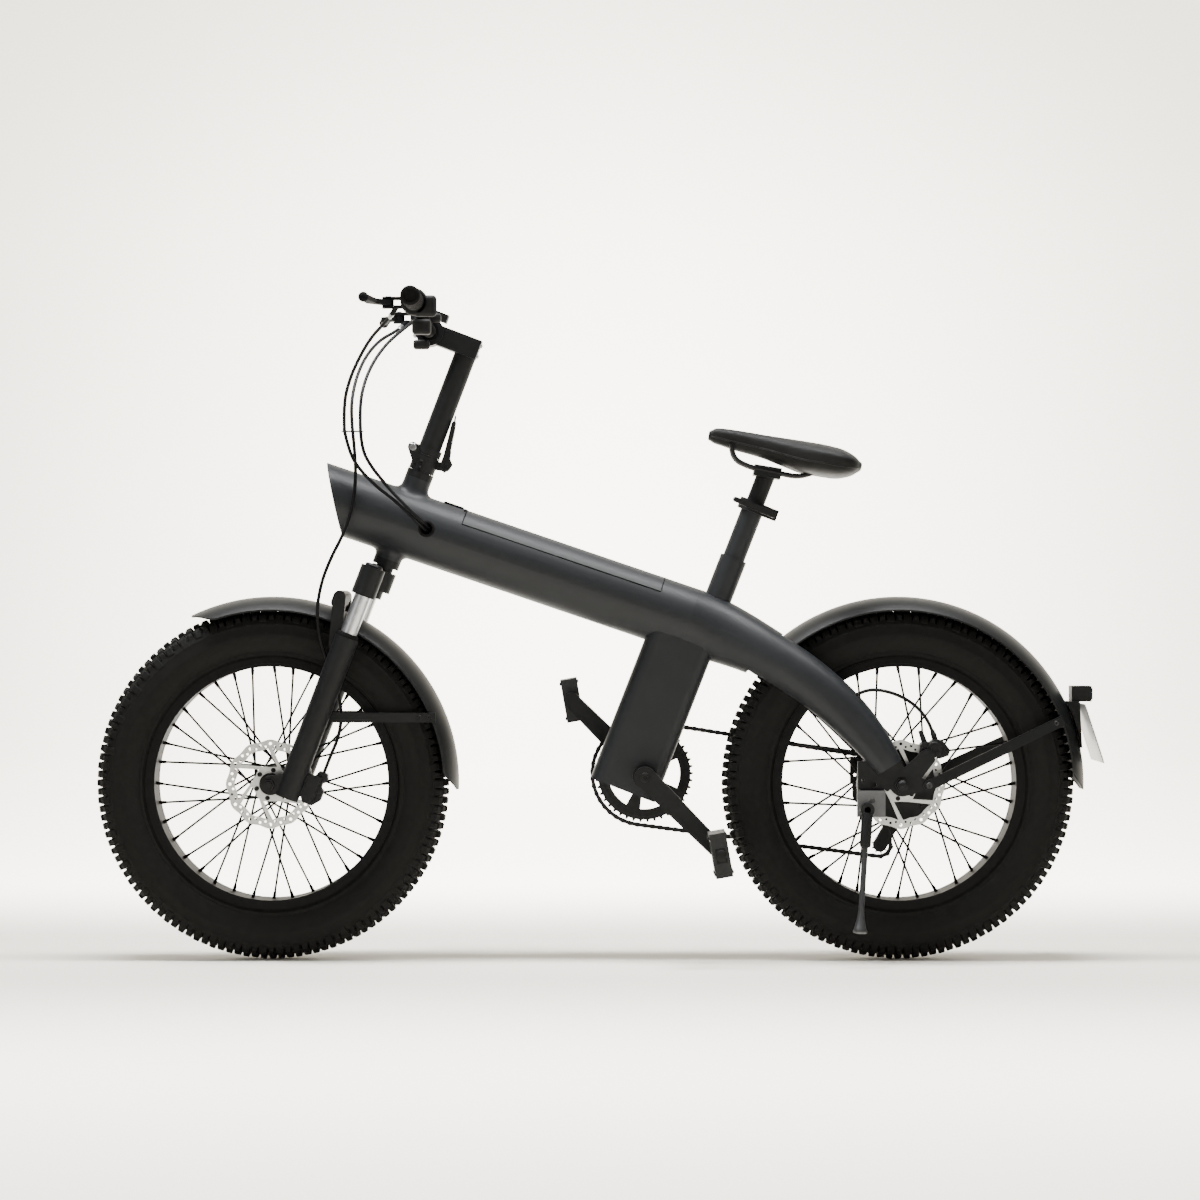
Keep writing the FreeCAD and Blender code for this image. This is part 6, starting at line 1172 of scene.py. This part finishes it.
gearDrum = {"place": (-289.3, -187, 1052.6), "profile": [(19.5, -7), (21.5, -5), (21.5, 5), (19.5, 7)]}


def makeLatch():
    hole = circle(*latch["pivot"], latch["bore"])
    plates = []
    for s in (-1, 1):
        cam = cutSheet([latch["cam"], hole], latch["plate"], 0.6)
        plates.append(upright(cam, across * latch["plateSide"] * mm * s))
    blade = upright(cutSheet([latch["blade"]], latch["bladeWidth"], 1.2), Vector((0, 0, 0)))
    handle = newPiece("fold_latch_handle", plates + [blade], blackEnamel, "latch")
    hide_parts("fold_latch")
    turns = [math.pi * k / 16 for k in range(17)]
    (x, z), (back, side, rise) = latch["loop"], latch["loopReach"]
    loop = [at(x + back * math.sin(a), -side * math.cos(a), z + rise * math.sin(a)) for a in turns]
    newPiece("latch_wire_loop", tube(loop, latch["loopWire"], 8), blackOxide, "latch")


def makeBarHardware():
    h = barHardware
    bolts = []
    side, rise = h["faceBolts"]
    for s, r in ((-1, -1), (-1, 1), (1, -1), (1, 1)):
        spot = steer(h["stemRise"] + r * rise, h["stemAhead"], s * side)
        bolts.append(boltHead(spot, -steerBack, 3.6, 4))
    side, rise = h["clampBolts"]
    for r in (-1, 1):
        bolts.append(boltHead(steer(h["stemRise"] + r * rise, h["stemBehind"], side), steerBack, 3.6, 3))
    newPiece("stem_bolts", bolts, zincSteel, "post")
    x, y, z = h["leverPivot"]
    pivots = [boltHead(at(x, y * s, z), up, 4.6, 2) for s in (-1, 1)]
    newPiece("lever_pivot_bolts", pivots, zincSteel, "post")
    barrels = []
    for route in upperRoutes:
        start, after = at(*route[0]), at(*route[1])
        barrels.append(lathe(cableBarrel, start, (after - start).normalized(), 20))
    newPiece("cable_barrels", barrels, zincSteel, "post")
    makeLatch()
    pods = [roundedBox(size, at(*place), None, corner) for size, place, corner in switchPods]
    pods.append(lathe(gearDrum["profile"], at(*gearDrum["place"]), across, 36))
    newPiece("bar_switch_pods", pods, sparkAbs, "post")
    print("bar hardware made")


# Drive hardware: pedal studs and caps with a painted shade patch on each pedal's end, crank and chainring
# bolts
pedals = {"length": 71, "width": 96, "thickness": 27, "tilt": 80, "rail": 13, "studs": (-36, -12, 12, 36),
          "left": (194.8, -140, 179.2), "right": (-42.8, 140, 416.8), "hollow": (25, 1.6, 17),
          "stud": [(2.2, -1), (2.2, 1.4), (1.6, 2.2)], "cap": [(9, -1), (9, 2), (7, 3.6), (2, 4)]}
crankBolts = {"side": 88, "ringCount": 5, "ringRadius": 26, "ringSide": 67.2, "ringTurn": 20}


def makePedals():
    p = pedals
    tilt = math.radians(p["tilt"])
    along = Vector((math.cos(tilt), 0, -math.sin(tilt)))
    outward = Vector((math.sin(tilt), 0, math.cos(tilt)))
    turn = Matrix((along, across, outward)).transposed()
    railAway = along * (p["length"] - p["rail"]) / 2 * mm
    for name, side in (("left", -1), ("right", 1)):
        middle = at(*p[name])
        studs = []
        for end in (-1, 1):
            for face in (-1, 1):
                for y in p["studs"]:
                    rail = middle + railAway * end + across * y * mm
                    spot = rail + outward * face * p["thickness"] / 2 * mm
                    studs.append(lathe(p["stud"], spot, outward * face, 12))
        newPiece(f"{name}_pedal_studs", studs, blackOxide, f"pedal_{name}")
        cap = lathe(p["cap"], middle + across * side * p["width"] / 2 * mm, across * side, 24)
        # a thin dark sheet on the pedal's end: painted shade for the hollow between its two blocks
        hollow = roundedBox(p["hollow"], middle + across * side * (p["width"] / 2 + 0.2) * mm, turn, 0.6, 1)
        newPiece(f"{name}_pedal_cap_and_shade_patch", [cap, hollow], sparkAbs, f"pedal_{name}")


def makeDriveHardware():
    c = crankBolts
    bolts = [boltHead(crankAxis + across * c["side"] * mm * s, across * s, 8, 3) for s in (-1, 1)]
    newPiece("crank_bolts", bolts, blackOxide, "crank")
    turns = [math.radians(360 / c["ringCount"] * k + c["ringTurn"]) for k in range(c["ringCount"])]
    ring = [boltHead(around(crankAxis, a, c["ringRadius"], c["ringSide"]), across, 3.4, 1.6) for a in turns]
    newPiece("chainring_bolts", ring, zincSteel, "crank")
    makePedals()
    print("drive hardware made")


makeFrameHardware()
makeLamps()
makePlateTrim()
makeForkHardware()
makeCalipers()
makeBarHardware()
makeDriveHardware()


# Stage: a warm white sweep whose emission is painted light, a painted pool of light brightest behind the
# bike, under an overhead panel and two weak side panels
# Its sizes are in metres
# centreGlow, edgeGlow, middle and reach shape the sweep's painted pool of light
stage = {"paint": "#f6f1e6", "room": "#fbfaf7", "centreGlow": 7.5, "edgeGlow": 2.0, "middle": 0.6,
         "reach": 3.3, "dome": 0.5, "front": 0.15, "floorFront": -9, "coveStart": 6.6, "coveRadius": 2.0,
         "half": 11, "tall": 10, "domeRange": (0.1, 0.9)}
glowRamps = {"share": (0.3, 1.8), "near": (-3.1, -2.6), "front": (-4.5, 0.5)}  # metres over which it fades
panels = [  # name, place, aim, width, depth, watts
    ("overheadPanel", (-0.1, -0.12, 2.4), (-0.1, 0, 0.3), 2.6, 0.3, 190),
    ("leftPanel", (-3.0, -3.4, 2.2), (0, 0, 0.6), 1.6, 1.6, 26),
    ("rightPanel", (3.2, -2.4, 1.8), (0.2, 0, 0.5), 1.2, 1.2, 10)]


# Sweep paint with painted light: the wall's emission is a painted pool of light round a point behind the
# bike. It fades out on the floor round the wheels, which keeps its shadows, and it fades towards the front
def makeGlowingSweepPaint():
    material, tree, shader, place = startMaterial("glowingSweep", stage["paint"], roughness=0.9)
    axes = addNode(tree, "ShaderNodeSeparateXYZ", {}, {"Vector": place})
    height = addNode(tree, "ShaderNodeMath", {"operation": "SUBTRACT", 1: stage["middle"]},
                     {0: axes.outputs["Z"]})
    spread = addNode(tree, "ShaderNodeCombineXYZ", {}, {"X": axes.outputs["X"], "Y": height.outputs[0]})
    reach = addNode(tree, "ShaderNodeVectorMath", {"operation": "LENGTH"}, {0: spread.outputs[0]})
    glow = addNode(tree, "ShaderNodeMapRange",
                   {"interpolation_type": "SMOOTHSTEP", "From Max": stage["reach"],
                    "To Min": stage["centreGlow"], "To Max": stage["edgeGlow"]},
                   {"Value": reach.outputs["Value"]})
    away = addNode(tree, "ShaderNodeMath", {"operation": "ABSOLUTE"}, {0: axes.outputs["Y"]})
    strength = glow.outputs["Result"]
    depth = axes.outputs["Y"]
    ramps = (("share", "SMOOTHSTEP", away.outputs[0]), ("near", "LINEAR", depth), ("front", "LINEAR", depth))
    for name, smooth, source in ramps:
        low, high = glowRamps[name]
        ramp = addNode(tree, "ShaderNodeMapRange",
                       {"interpolation_type": smooth, "From Min": low, "From Max": high}, {"Value": source})
        lit = addNode(tree, "ShaderNodeMath", {"operation": "MULTIPLY"},
                      {0: strength, 1: ramp.outputs["Result"]})
        strength = lit.outputs[0]
    shader.inputs["Emission Color"].default_value = linear(stage["paint"])
    tree.links.new(strength, shader.inputs["Emission Strength"])
    return material


def makeSweep():
    start, radius = stage["coveStart"], stage["coveRadius"]  # far enough back for a camera on the drive side
    points = [(stage["floorFront"], 0), (start, 0)]
    for k in range(1, 13):
        a = math.pi / 2 * k / 12
        points.append((start + radius * math.sin(a), radius - radius * math.cos(a)))
    points.append((start + radius, stage["tall"]))
    verts = [Vector((x, y, z)) for y, z in points for x in (-stage["half"], stage["half"])]
    faces = [(2 * k, 2 * k + 1, 2 * k + 3, 2 * k + 2) for k in range(len(points) - 1)]
    newPiece("studio_sweep", (verts, faces), makeGlowingSweepPaint())


def makeRoom():  # soft light from above, dim ahead
    world = bpy.data.worlds.new("softRoom")
    world.use_nodes = True
    tree = world.node_tree
    way = addNode(tree, "ShaderNodeTexCoord").outputs["Generated"]
    axes = addNode(tree, "ShaderNodeSeparateXYZ", {}, {"Vector": way})
    low, high = stage["domeRange"]
    dome = addNode(tree, "ShaderNodeMapRange",
                   {"From Min": low, "From Max": high, "To Min": stage["front"], "To Max": stage["dome"]},
                   {"Value": axes.outputs["Z"]})
    sky = tree.nodes["Background"]
    sky.inputs["Color"].default_value = linear(stage["room"])
    tree.links.new(dome.outputs["Result"], sky.inputs["Strength"])
    bpy.context.scene.world = world


def makeStage():
    makeSweep()
    makeRoom()
    for name, place, aim, width, depth, power in panels:
        light = bpy.data.lights.new(name, "AREA")
        light.shape = "RECTANGLE"
        light.size = width
        light.size_y = depth
        light.energy = power
        lamp = bpy.data.objects.new(name, light)
        lamp.location = place
        lamp.rotation_euler = (Vector(aim) - Vector(place)).to_track_quat("-Z", "Y").to_euler()
        bpy.context.scene.collection.objects.link(lamp)
    print("stage lit")


makeStage()
